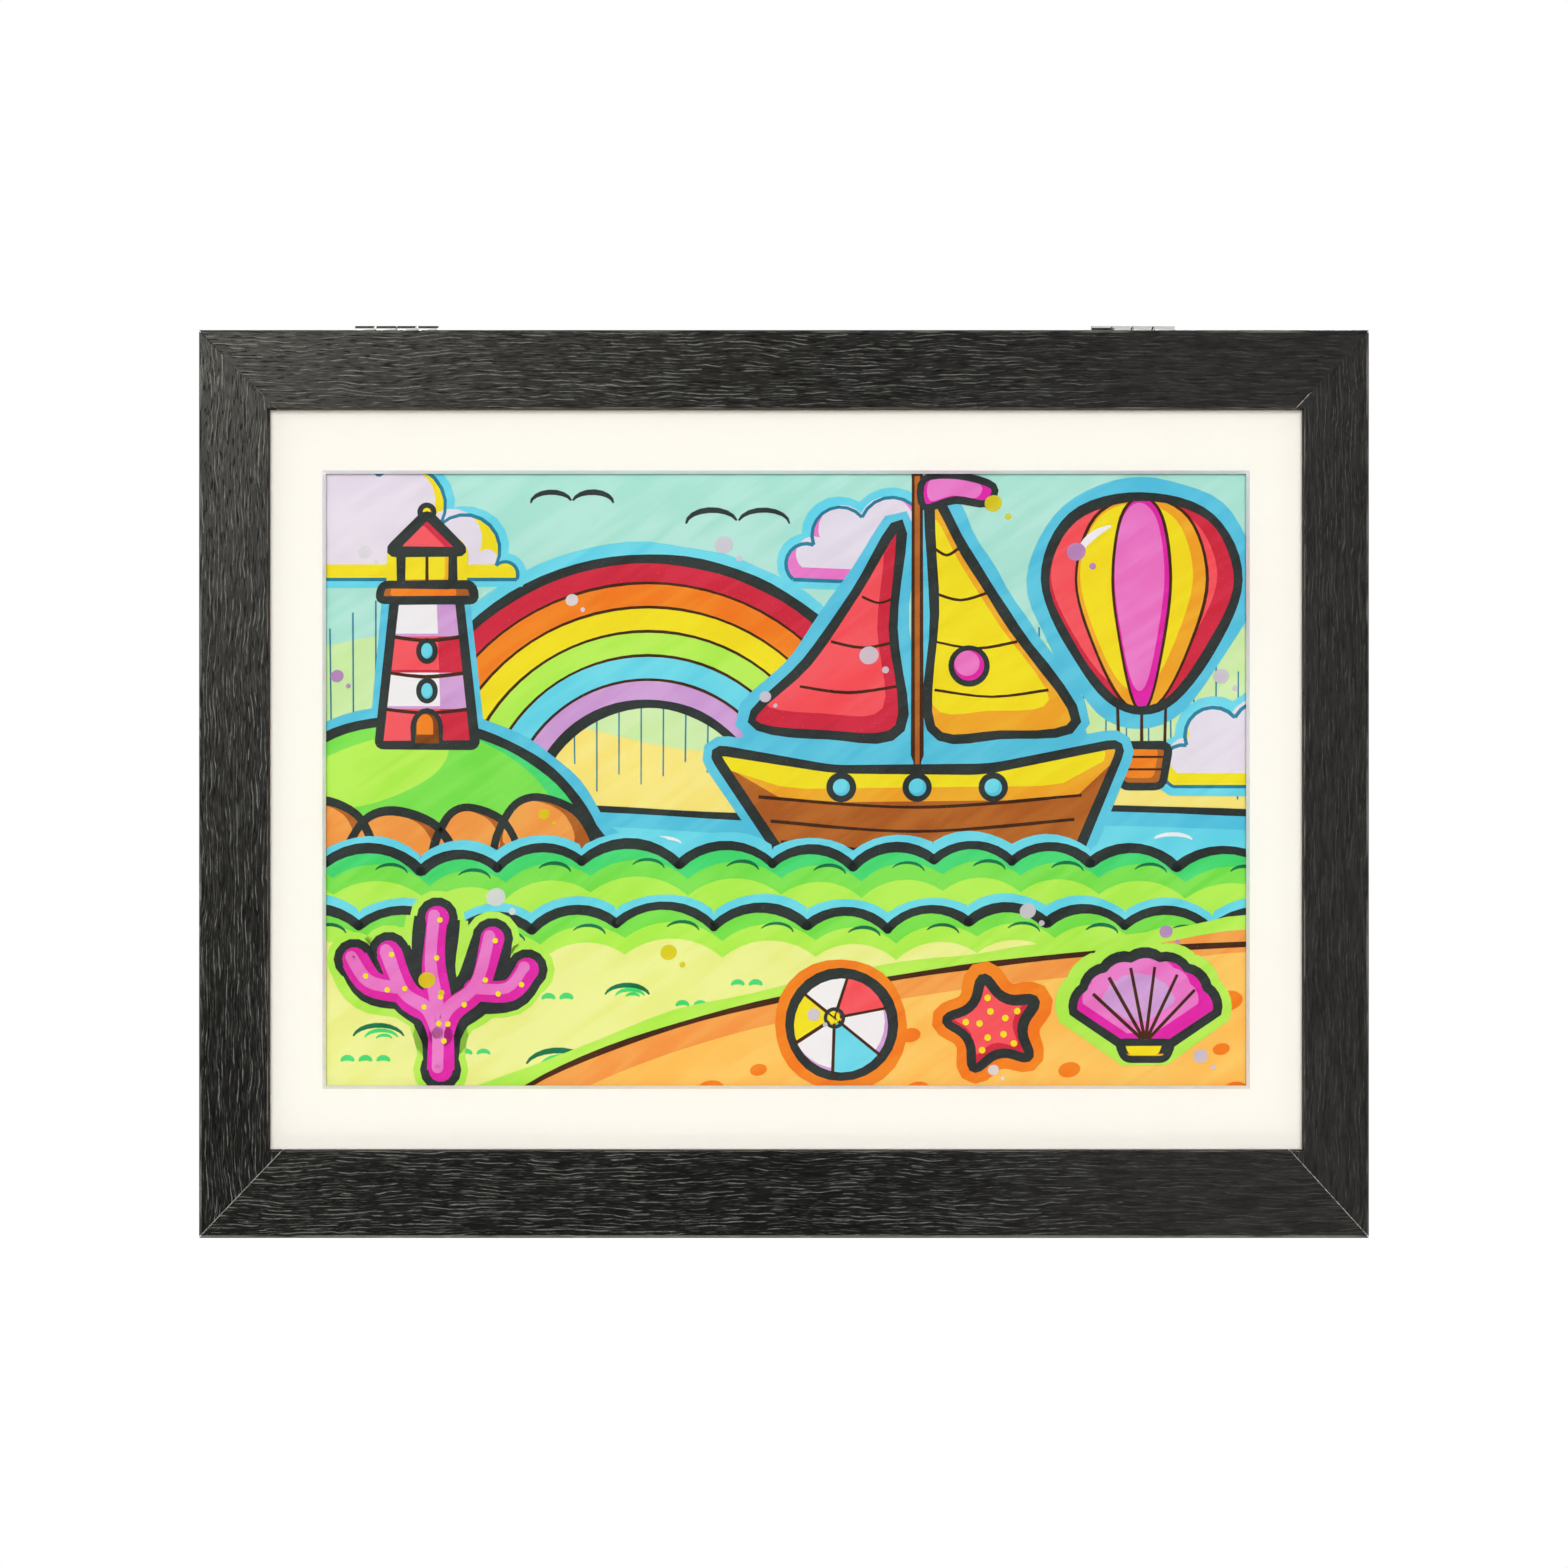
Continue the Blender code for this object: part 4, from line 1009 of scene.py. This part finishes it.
def trim_to_sheet(part):
    """Cuts off what runs past the printed part of the sheet, and closes each cut."""
    for way, reach in (
        ((-1, 0, 0), LEFT_END),
        ((1, 0, 0), RIGHT_END),
        ((0, -1, 0), LOW_END),
        ((0, 1, 0), HIGH_END),
    ):
        border = Vector(way) * abs(reach)
        if not any(v.co.dot(way) > abs(reach) for v in part.verts):
            continue
        cut = bmesh.ops.bisect_plane(
            part,
            geom=part.verts[:] + part.edges[:] + part.faces[:],
            plane_co=border,
            plane_no=way,
            clear_outer=True,
        )
        rim = [e for e in cut["geom_cut"] if isinstance(e, bmesh.types.BMEdge) and e.is_valid]
        bmesh.ops.holes_fill(part, edges=[e for e in rim if e.is_boundary], sides=0)


def film_of(item, made, depsgraph):
    """One drawn fill or line as a flat film at its own level, in its own ink."""
    kind, _, ink, level, _, _ = item
    flat = bpy.data.meshes.new_from_object(made.evaluated_get(depsgraph))
    part = bmesh.new()
    part.from_mesh(flat)
    bmesh.ops.remove_doubles(part, verts=part.verts, dist=MERGE_AT)
    bmesh.ops.dissolve_degenerate(part, edges=part.edges, dist=SLIVER)
    if kind != "fill":
        thick = max(abs(v.co.z) for v in part.verts)
        bmesh.ops.scale(part, vec=(1, 1, FILM / thick), verts=part.verts)
    trim_to_sheet(part)
    bmesh.ops.recalc_face_normals(part, faces=part.faces)
    place = Vector((PICTURE_X, SHEET_FACE - (level + 1) * LAYER_STEP, PICTURE_Z)) * MM
    turn = Matrix.Translation(place) @ Matrix.Rotation(math.pi / 2, 4, "X") @ Matrix.Scale(MM, 4)
    bmesh.ops.transform(part, matrix=turn, verts=part.verts)
    colour = part.loops.layers.float_color.new("ink")
    for face in part.faces:
        face.smooth = False
        for corner in face.loops:
            corner[colour] = (*linear(INKS[ink]), 1)
    part.to_mesh(flat)
    part.free()
    return flat


def lay_down(name, material="ink"):
    """Makes one piece of all that was drawn since the last one."""
    curves = [curve_for(item) for item in DRAWN]
    bpy.context.view_layer.update()
    depsgraph = bpy.context.evaluated_depsgraph_get()
    whole = bmesh.new()
    whole.loops.layers.float_color.new("ink")
    for item, made in zip(DRAWN, curves):
        flat = film_of(item, made, depsgraph)
        whole.from_mesh(flat)
        bpy.data.meshes.remove(flat)
        curve = made.data
        bpy.data.objects.remove(made)
        bpy.data.curves.remove(curve)
    DRAWN.clear()
    put_in_scene(whole, name, [material], BOX)


def under(top):
    """The area below a line that crosses the picture."""
    return [(LEFT_END, LOW_END)] + top + [(RIGHT_END, LOW_END)]


def draw_sky(level):
    foot = [(LEFT_END, -30)]
    paint(foot + [(RIGHT_END, -30), (RIGHT_END, HIGH_END), (LEFT_END, HIGH_END)], "sky_pale", level)
    middle = [(LEFT_END, 36), (-96, 44), (-40, 34), (10, 46), (64, 38), (110, 48), (RIGHT_END, 40)]
    near = [(LEFT_END, 10), (-80, 18), (-20, 8), (50, 16), (100, 10), (RIGHT_END, 18)]
    for height, points, ink in ((1, middle, "sky"), (2, near, "gold_haze")):
        paint(foot + smooth(points, False) + [(RIGHT_END, -30)], ink, level + height)
    heights = random.Random(3)
    for step in range(44):
        x = -138 + 6.4 * step
        foot = heights.uniform(-6, 6)
        top = heights.uniform(30, 52)
        stroke([(x, foot), (x + heights.uniform(-0.6, 0.6), top)], level + 3, 0.45, "teal_line")


def draw_rainbow(level):
    x, z = -40.0, -12.0
    outer = arc(x, z, 76, 76, -4, 184, 48)
    stroke(outer, level, 9.5, "cyan")
    for number, ink in enumerate(("crimson", "orange", "yellow", "lime", "cyan", "lilac")):
        radius, inside = 76 - 7 * number, 69 - 7 * number
        band = arc(x, z, radius, radius, -4, 184, 44) + arc(x, z, inside, inside, 184, -4, 44)
        paint(band, ink, level + 1)
        stroke(arc(x, z, inside, inside, -4, 184, 40), level + 2, 0.8, "bark")
    stroke(outer, level + 3)
    stroke(arc(x, z, 34, 34, -4, 184, 36), level + 3)


def cloud(points, level, underside="pink"):
    """A cloud of round bumps over a flat foot, with a coloured underside."""
    arcs = bumps(points, 0.42)
    whole = joined(arcs)
    draw(whole, level, 6.0, "cyan")
    paint(whole, underside, level + 1)
    paint(lit(whole, 0.86, (-1.2, 2.0)), "cloud", level + 2)
    for run in arcs + [[points[0], points[-1]]]:
        stroke(run, level + 3, 1.0, "teal_line")


def draw_clouds(level):
    cloud([(-146, 58), (-140, 76), (-118, 88), (-100, 74), (-84, 62), (-78, 58)], level, "yellow")
    cloud([(2, 58), (8, 68), (22, 76), (40, 72), (48, 60), (52, 56)], level, "pink")
    cloud([(112, -2), (116, 10), (130, 18), (148, 12), (150, -2)], level, "yellow")


def draw_balloon(level):
    x = 103.0
    right = [(x + 20, 76), (x + 28, 58), (x + 20, 38), (x + 7, 22)]
    left = [(x - 7, 22), (x - 20, 38), (x - 28, 58), (x - 20, 76)]
    skin = smooth([(x, 82)] + right + left)
    draw(skin, level, 10.0, "deep_cyan")
    gores = ((1.0, "crimson", "coral"), (0.68, "gold", "yellow"), (0.30, "magenta", "pink"))
    for number, (share, dark, light) in enumerate(gores):
        gore = [(x + (px - x) * share, pz) for px, pz in skin]
        paint(gore, dark, level + 1 + 2 * number)
        inner = [(x + (px - x) * 0.86 - 2.2 * share, 54 + (pz - 54) * 0.88 + 1.6) for px, pz in gore]
        paint(inner, light, level + 2 + 2 * number)
        if number:
            draw(gore, level + 7, THIN, "bark")
    draw(skin, level + 8)
    flick(arc(x, 62, 19, 13, 118, 165, 8), level + 8, 2.2, "white")
    for rope in (-7, 7, 0):
        stroke([(x + rope, 22), (x + rope * 0.95, 10)], level + 5, 0.9, "bark")
    basket = rounded(block(x, 10, -2, 8, 6), 2.5)
    form(basket, "brown", "orange", level + 3, None, 2.2, 0.72, (-0.8, 0.8))
    for row in (6.6, 3.0):
        stroke([(x - 6.5, row), (x + 6.5, row)], level + 6, 0.7, "bark")


def draw_island(level):
    ridge = [(-134, 12), (-112, 17), (-88, 13), (-68, 2), (-56, -14)]
    hill = smooth([(-149, -30), (-149, -4)] + ridge + [(-52, -30)])
    draw(hill, level, 8.5, "deep_cyan")
    paint(hill, "emerald", level + 1)
    paint(lit(hill, 0.88, (-3.5, 2.0)), "green", level + 2)
    meadow = [(-146, -2), (-130, 8), (-112, 13), (-98, 10), (-104, 0), (-126, -8)]
    paint(smooth(meadow), "lime", level + 3)
    rocks = ((-70, -14, 13, 9), (-90, -16, 11, 8), (-112, -17, 14, 8), (-132, -15, 11, 9))
    for x, z, wide, tall in rocks:
        left = [(x - wide, z - tall), (x - wide * 0.8, z + tall * 0.5)]
        right = [(x + wide * 0.8, z + tall * 0.4), (x + wide, z - tall)]
        stone = smooth(left + [(x - 2, z + tall)] + right)
        form(stone, "brown", "peach", level + 4, None, 2.4, 0.72, (-1.6, 1.4))
    draw(hill, level + 4)


def draw_lighthouse(level):
    x, foot, band = -104.0, 10.0, 10.5
    top = foot + 4 * band

    def half(z):
        return 14 - 4.6 * (z - foot) / (4 * band)

    tower = block(x, foot, top, half(foot), half(top))
    draw(tower, level - 6, 9.0, "deep_cyan")
    for number in range(4):
        low, high = foot + band * number, foot + band * (number + 1)
        dark, light = (("crimson", "coral"), ("lilac", "white"))[number % 2]
        paint(block(x, low, high, half(low), half(high)), dark, level + 1)
        shaded = [(x + half(low) * 0.3, low + 0.8), (x + half(high) * 0.3, high)]
        bright = [(x - half(low), low + 0.8)] + shaded + [(x - half(high), high)]
        paint(bright, light, level + 2)
        if number:
            thread([(x - half(low), low), (x, low - 1.2), (x + half(low), low)], level + 3, 1.0)
    draw(rounded(tower, 1.5), level + 4)
    door = arc(x, foot + 5, 4, 5, 0, 180, 10) + [(x - 4, foot), (x + 4, foot)]
    form(door, "dark_brown", "orange", level + 4, None, 1.6, 0.6, (-0.6, 0.4))
    for z in (foot + band * 1.5, foot + band * 2.6):
        form(oval(x, z, 2.4, 3.0), "deep_cyan", "cyan", level + 4, None, 1.4, 0.7, (-0.3, 0.4))
    gallery = rounded(block(x, top, top + 4.5, 14, 13), 1.8)
    form(gallery, "brown", "orange", level + 4, None, 2.4, 0.7, (-1, 0.5))
    lantern = rounded(block(x, top + 4.5, top + 14, 7.5, 7.5), 1.5)
    form(lantern, "gold", "yellow", level + 3, "yellow", 2.4, 0.8, (-0.8, 0.6))
    stroke([(x, top + 5), (x, top + 14)], level + 7, 0.9, "bark")
    roof = rounded([(x - 11, top + 14), (x + 11, top + 14), (x, top + 25)], 2.2)
    form(roof, "crimson", "coral", level + 4, None, 2.8, 0.66, (-1.4, -0.4))
    form(oval(x, top + 25.5, 2.0), "gold", "yellow", level + 5, None, 1.6, 0.6, (-0.2, 0.3))


def draw_far_sea(level):
    crest = smooth([(LEFT_END, -10), (-70, -8), (0, -11), (70, -8), (RIGHT_END, -10)], False)
    paint(under(crest), "deep_cyan", level)
    paint(under([(x, z - 5) for x, z in crest]), "cyan", level + 1)
    stroke(crest, level + 2, 2.0)
    for x, z in ((-36, -19), (-20, -24), (112, -18), (128, -24), (98, -25), (-44, -27)):
        flick(arc(x, z, 6, 2.2, 160, 20, 8), level + 2, 1.1, "white")


def draw_boat(level):
    for height, width, ink in ((4, 3.4, "bark"), (5, 1.5, "brown")):
        stroke([(38, 2), (38, 88)], level + height, width, ink)
    mainsail = [(42, 82), (52, 66), (66, 44), (84, 17), (62, 13), (42, 15), (43, 48)]
    jib = [(33, 74), (20, 54), (6, 34), (-10, 17), (12, 13), (33, 15), (31, 44)]
    for sail, dark, light, shift in (
        (mainsail, "gold", "yellow", (-2.2, 1.4)),
        (jib, "crimson", "coral", (-2.0, 1.6)),
    ):
        form(smooth(sail, True, 5), dark, light, level, "deep_cyan", LINE, 0.80, shift)
    for mast, sag, seams in (
        (43, 2.0, ((26, 76), (40, 67), (54, 58), (67, 50))),
        (32, 1.8, ((27, 4), (40, 13), (53, 22))),
    ):
        for low, reach in seams:
            thread([(mast, low), ((mast + reach) / 2, low - sag), (reach, low)], level + 3, 0.8, steps=4)
    form(oval(53, 33, 5.2), "magenta", "pink", level + 2, None, 1.6, 0.7, (-0.6, 0.7))
    flag = smooth([(40, 87), (50, 88), (60, 85), (58, 80), (49, 81), (40, 79)], True, 4)
    form(flag, "magenta", "pink", level + 4, None, 2.0, 0.74, (-0.8, 0.7))
    paint([(-12, 17), (86, 17), (90, 4), (-14, 4)], "deep_cyan", level)
    hull = rounded([(-22, 9), (14, 3), (58, 3), (98, 11), (82, -27), (2, -27)], 5)
    draw(hull, level + 4, 8.5, "deep_cyan")
    paint(hull, "brown", level + 5)
    paint([(x, max(z, -8 + (x - 38) ** 2 / 700)) for x, z in hull], "gold", level + 6)
    bright = [(x * 0.97 - 1.2, max(z - 1.0, -4 + (x - 38) ** 2 / 700)) for x, z in hull]
    paint(bright, "yellow", level + 7)
    for drop in (-8, -15, -21):
        plank = [(-12 - drop * 0.5, drop + 3), (38, drop), (88 + drop * 0.3, drop + 3.5)]
        thread(plank, level + 8, steps=8)
    for x in (16, 38, 60):
        form(oval(x, -2.2, 3.4), "deep_cyan", "cyan", level + 7, None, 1.8, 0.66, (-0.5, 0.6))
    draw(hull, level + 9)


def wave_line(start, spans, drop):
    """Anchor points of a scalloped crest, spaced unevenly."""
    points = [(start, drop)]
    picks = random.Random(spans)
    for _ in range(spans):
        points.append((points[-1][0] + picks.uniform(22, 31), drop + picks.uniform(-2.2, 2.2)))
    return points


def wave(level, anchors, dark, middle, light):
    arcs = bumps(anchors, 0.20)
    crest = joined(arcs)
    stroke(crest, level, 7.5, "cyan")
    paint([(anchors[0][0], LOW_END)] + crest + [(anchors[-1][0], LOW_END)], dark, level + 1)
    for depth, ink, height in ((4.2, middle, 2), (9.0, light, 3)):
        lower = joined(bumps([(x + 2.5, z - depth) for x, z in anchors], 0.18))
        area = [(anchors[0][0] + 2.5, LOW_END)] + lower + [(anchors[-1][0] + 2.5, LOW_END)]
        paint(area, ink, level + height)
    for run in arcs:
        stroke(run, level + 4)
        x, z = run[len(run) // 2]
        flick(arc(x + 3, z - 7.5, 5.0, 3.0, 150, 10, 8), level + 4, 0.9, "leaf_line")


def draw_waves(level):
    wave(level, wave_line(-160, 12, -25), "emerald", "green", "lime")
    wave(level + 5, wave_line(-150, 12, -43), "green", "lime", "pale_green")
    marks = random.Random(12)
    for x, z in (
        (-120, -66), (-98, -80), (-74, -64), (-52, -78), (-30, -66), (-8, -76),
        (-127, -82), (-62, -86), (96, -60), (124, -58), (-14, -60), (40, -60),
    ):
        for number in range(marks.choice((2, 3))):
            flick(arc(x + number * 5.2, z, 2.0, 1.5, 160, 20, 5), level + 9, 1.5, "emerald")


def draw_ripples(level):
    """Nested arcs of green pen on the pale water."""
    nest = ((9.5, 1.5, "leaf_line"), (6.2, 1.25, "emerald"), (3.0, 1.0, "emerald"))
    for x, z, size in (
        (-66, -82, 1.0), (-20, -68, 0.85), (-118, -74, 0.8), (-46, -62, 0.7), (92, -52, 0.6),
    ):
        for number, (reach, width, ink) in enumerate(nest):
            wide = reach * size
            run = arc(x + number * 0.8, z - 1.6 * size, wide, wide * 0.55, 165, 15, 9)
            flick(run, level, width, ink)


def draw_gulls(level):
    for x, z, size in ((-14, 74, 7.5), (-62, 80, 6.0)):
        for side in (-1, 1):
            wing = arc(x + side * size, z, size, size * 0.55, 90 + 75 * side, 90 - 88 * side, 8)
            flick(wing, level, 1.5, "outline")


def draw_beach(level):
    edge = [(-96, -106), (-70, -86), (-24, -69), (34, -57), (92, -50), (148, -47)]
    shore = smooth(edge + [(148, -106)], True, 7)
    draw(shore, level, 8.0, "lime")
    paint(shore, "peach", level + 1)
    paint(lit(shore, 0.93, (3.5, -4.6)), "sand", level + 2)
    thread(edge, level + 3, 1.6, steps=7)
    for x, z, size in (
        (-22, -90, 3.4), (2, -94, 2.6), (38, -90, 3.0), (82, -84, 2.6), (84, -64, 2.4), (128, -64, 3.4),
        (130, -90, 3.0), (-8, -84, 2.0), (36, -74, 2.4), (126, -78, 2.0), (62, -96, 3.0),
    ):
        paint(oval(x, z, size * 1.25, size * 0.85, 12), "orange", level + 3)


def draw_starfish(x, z, level):
    arms = []
    spots = []
    for number in range(5):
        turn = math.radians(102 + 72 * number)
        notch = turn + math.radians(36)
        arms.append((x + 16 * math.cos(turn), z + 16 * math.sin(turn)))
        arms.append((x + 7.2 * math.cos(notch), z + 7.2 * math.sin(notch)))
        spots += [(x + reach * math.cos(turn), z + reach * math.sin(turn)) for reach in (4.0, 8.0)]
    form(rounded(arms, 5.0, 5), "crimson", "coral", level, "orange", LINE, 0.78, (-1.0, 1.2))
    for spot in spots:
        paint(oval(*spot, 0.95), "yellow", level + 3)


def draw_shell(x, z, level):
    rim = joined(bumps(arc(x, z, 21, 19, 172, 8, 7), 0.16, 5))
    shell = rim + [(x + 5, z - 8), (x - 5, z - 8)]
    form(shell, "magenta", "pink", level, "lime", LINE, 0.80, (-1.4, 0.6))
    paint(lit(shell, 0.50, (-2.0, -2.0)), "lilac", level + 3)
    for angle in (150, 127, 104, 81, 58, 35):
        way = math.radians(angle)
        tip = (x + 17.5 * math.cos(way), z + 16 * math.sin(way))
        stroke([(x, z - 6), tip], level + 4, 0.9, "bark")
    hinge = rounded(block(x, z - 6, z - 11, 8, 6), 2.0)
    form(hinge, "gold", "yellow", level + 2, None, 2.0, 0.7, (-0.5, 0.5))


def draw_ball(x, z, level):
    ball = oval(x, z, 15)
    hub = (x - 2, z + 2)
    draw(ball, level, 8.5, "orange")
    paint(ball, "lilac", level + 1)
    paint(lit(ball, 0.9, (-0.9, 0.9)), "white", level + 2)
    for start, dark in ((20, "coral"), (140, "yellow"), (260, "cyan")):
        panel = [hub] + arc(x, z, 14.6, 14.6, start, start + 62, 12)
        paint(panel, dark, level + 3)
        for end in (panel[1], panel[-1]):
            thread([hub, end], level + 4, steps=3)
    draw(ball, level + 4)
    form(oval(*hub, 2.6), "gold", "yellow", level + 2, None, 1.2, 0.7, (-0.2, 0.2))


def draw_coral(x, z, level):
    """A branching coral with round tips."""
    trunks = (
        [(0, -20), (0, -4), (-2, 10), (-1, 24)],
        [(0, -10), (-3, -3), (-10, 2), (-15, 14)],
        [(0, -10), (3, -3), (11, 4), (15, 18)],
        [(-11, 3), (-20, 5), (-25, 12)],
        [(10, 3), (20, 3), (25, 9)],
    )
    runs = [smooth([(x + px, z + pz) for px, pz in trunk], False, 5) for trunk in trunks]
    for run in runs:
        for height, width, ink in ((0, 16.0, "lime"), (1, 12.0, "outline"), (2, 7.0, "magenta")):
            stroke(run, level + height, width, ink)
    for run in runs:
        stroke([(px - 0.9, pz + 0.7) for px, pz in run], level + 3, 3.4, "pink")
    for run in runs:
        for px, pz in run[3::4]:
            paint(oval(px + 0.8, pz - 0.6, 0.8), "yellow", level + 4)


def draw_dots(level):
    """See-through spots of ink, as if splashed over the picture."""
    picks = random.Random(21)
    spots = (
        (-62, 52), (-18, 68), (60, 80), (126, 30), (-130, 30), (-84, -34),
        (24, 36), (-34, -50), (70, -38), (110, -44), (60, -84), (120, -80),
        (-104, -58), (-6, 24), (84, 66), (-122, 66), (8, -68), (-70, -10),
    )
    for number, (x, z) in enumerate(spots):
        ink = ("white", "cloud", "yellow", "cloud", "lilac")[number % 5]
        size = picks.uniform(1.6, 3.1)
        paint(oval(x, z, size, size * 0.92, 20), ink, level)
        paint(oval(x + size * 1.7, z - size * 1.5, size * 0.36, steps=12), ink, level)


def draw_picture():
    draw_sky(0)
    lay_down("picture_sky")
    draw_rainbow(4)
    lay_down("picture_rainbow")
    draw_clouds(8)
    draw_gulls(12)
    lay_down("picture_clouds")
    draw_balloon(11)
    lay_down("picture_balloon")
    draw_far_sea(12)
    lay_down("picture_far_sea")
    draw_island(15)
    draw_lighthouse(20)
    lay_down("picture_lighthouse_island")
    draw_boat(18)
    lay_down("picture_boat")
    draw_waves(29)
    draw_ripples(39)
    lay_down("picture_waves")
    draw_beach(40)
    draw_starfish(60, -71, 45)
    draw_shell(104, -70, 45)
    draw_ball(16, -71, 45)
    lay_down("picture_beach")
    draw_coral(-100, -64, 45)
    lay_down("picture_coral")
    draw_dots(54)
    lay_down("picture_dots", "clear_ink")


# Stage, lights and camera


def set_lamps():
    for name, place, size, power, colour, passes in LAMPS:
        lamp = bpy.data.lights.new(name, "AREA")
        lamp.shape = "DISK"
        lamp.size = size
        lamp.energy = power
        lamp.color = colour
        made = bpy.data.objects.new(name, lamp)
        made.location = place
        made.rotation_euler = (-made.location).to_track_quat("-Z", "Y").to_euler()
        bpy.context.scene.collection.objects.link(made)
        if passes:
            setattr(made, passes, False)


def set_stage():
    shape = bmesh.new()
    bmesh.ops.create_circle(shape, cap_ends=True, segments=96, radius=FLOOR_RADIUS)
    bmesh.ops.translate(shape, vec=(0, 0, FLOOR_Z), verts=shape.verts)
    mesh = bpy.data.meshes.new("studio_floor")
    shape.to_mesh(mesh)
    shape.free()
    floor = bpy.data.objects.new("studio_floor", mesh)
    bpy.context.scene.collection.objects.link(floor)
    mesh.materials.append(stage_floor_material("pale_floor"))


def set_world():
    """Even light all round, white behind the object, and a dimmer room behind the camera for gloss."""
    world = bpy.data.worlds.new("soft_room")
    bpy.context.scene.world = world
    world.use_nodes = True
    tree = world.node_tree
    lighting = tree.nodes["Background"]
    lighting.inputs["Color"].default_value = (1.0, 0.995, 0.98, 1)
    lighting.inputs["Strength"].default_value = WORLD_STRENGTH
    seen = add(tree, "Background")
    seen.inputs["Color"].default_value = (*WHITE, 1)
    way = axes(tree, add(tree, "TexCoord").outputs["Generated"])
    room = ranged(tree, way["Y"], -0.70, 0.15, ROOM_GLOSS, 1.0)
    path = add(tree, "LightPath").outputs
    direct = larger(tree, path["Is Camera Ray"], path["Is Transmission Ray"])
    plug(tree, larger(tree, direct, room), seen.inputs["Strength"])
    shown = larger(tree, direct, path["Is Glossy Ray"])
    lit_by, seen_as = lighting.outputs["Background"], seen.outputs["Background"]
    blend_shaders(tree, shown, lit_by, seen_as, "World Output")


def set_camera():
    camera = bpy.data.cameras.new("photo_camera")
    camera.sensor_width = SENSOR_WIDTH
    camera.lens = SENSOR_WIDTH * CAMERA_DISTANCE / VIEW_WIDTH
    camera.clip_start = 0.01
    made = bpy.data.objects.new("photo_camera", camera)
    made.location = (0, FRONT_FACE_Y - CAMERA_DISTANCE, 0)
    made.rotation_euler = (math.pi / 2, 0, 0)
    bpy.context.scene.collection.objects.link(made)
    bpy.context.scene.camera = made


finish_bars()
mitre_fillers()
finish_small_parts()
draw_picture()
set_stage()
set_world()
set_camera()
set_lamps()
bpy.context.scene.view_settings.view_transform = "Standard"
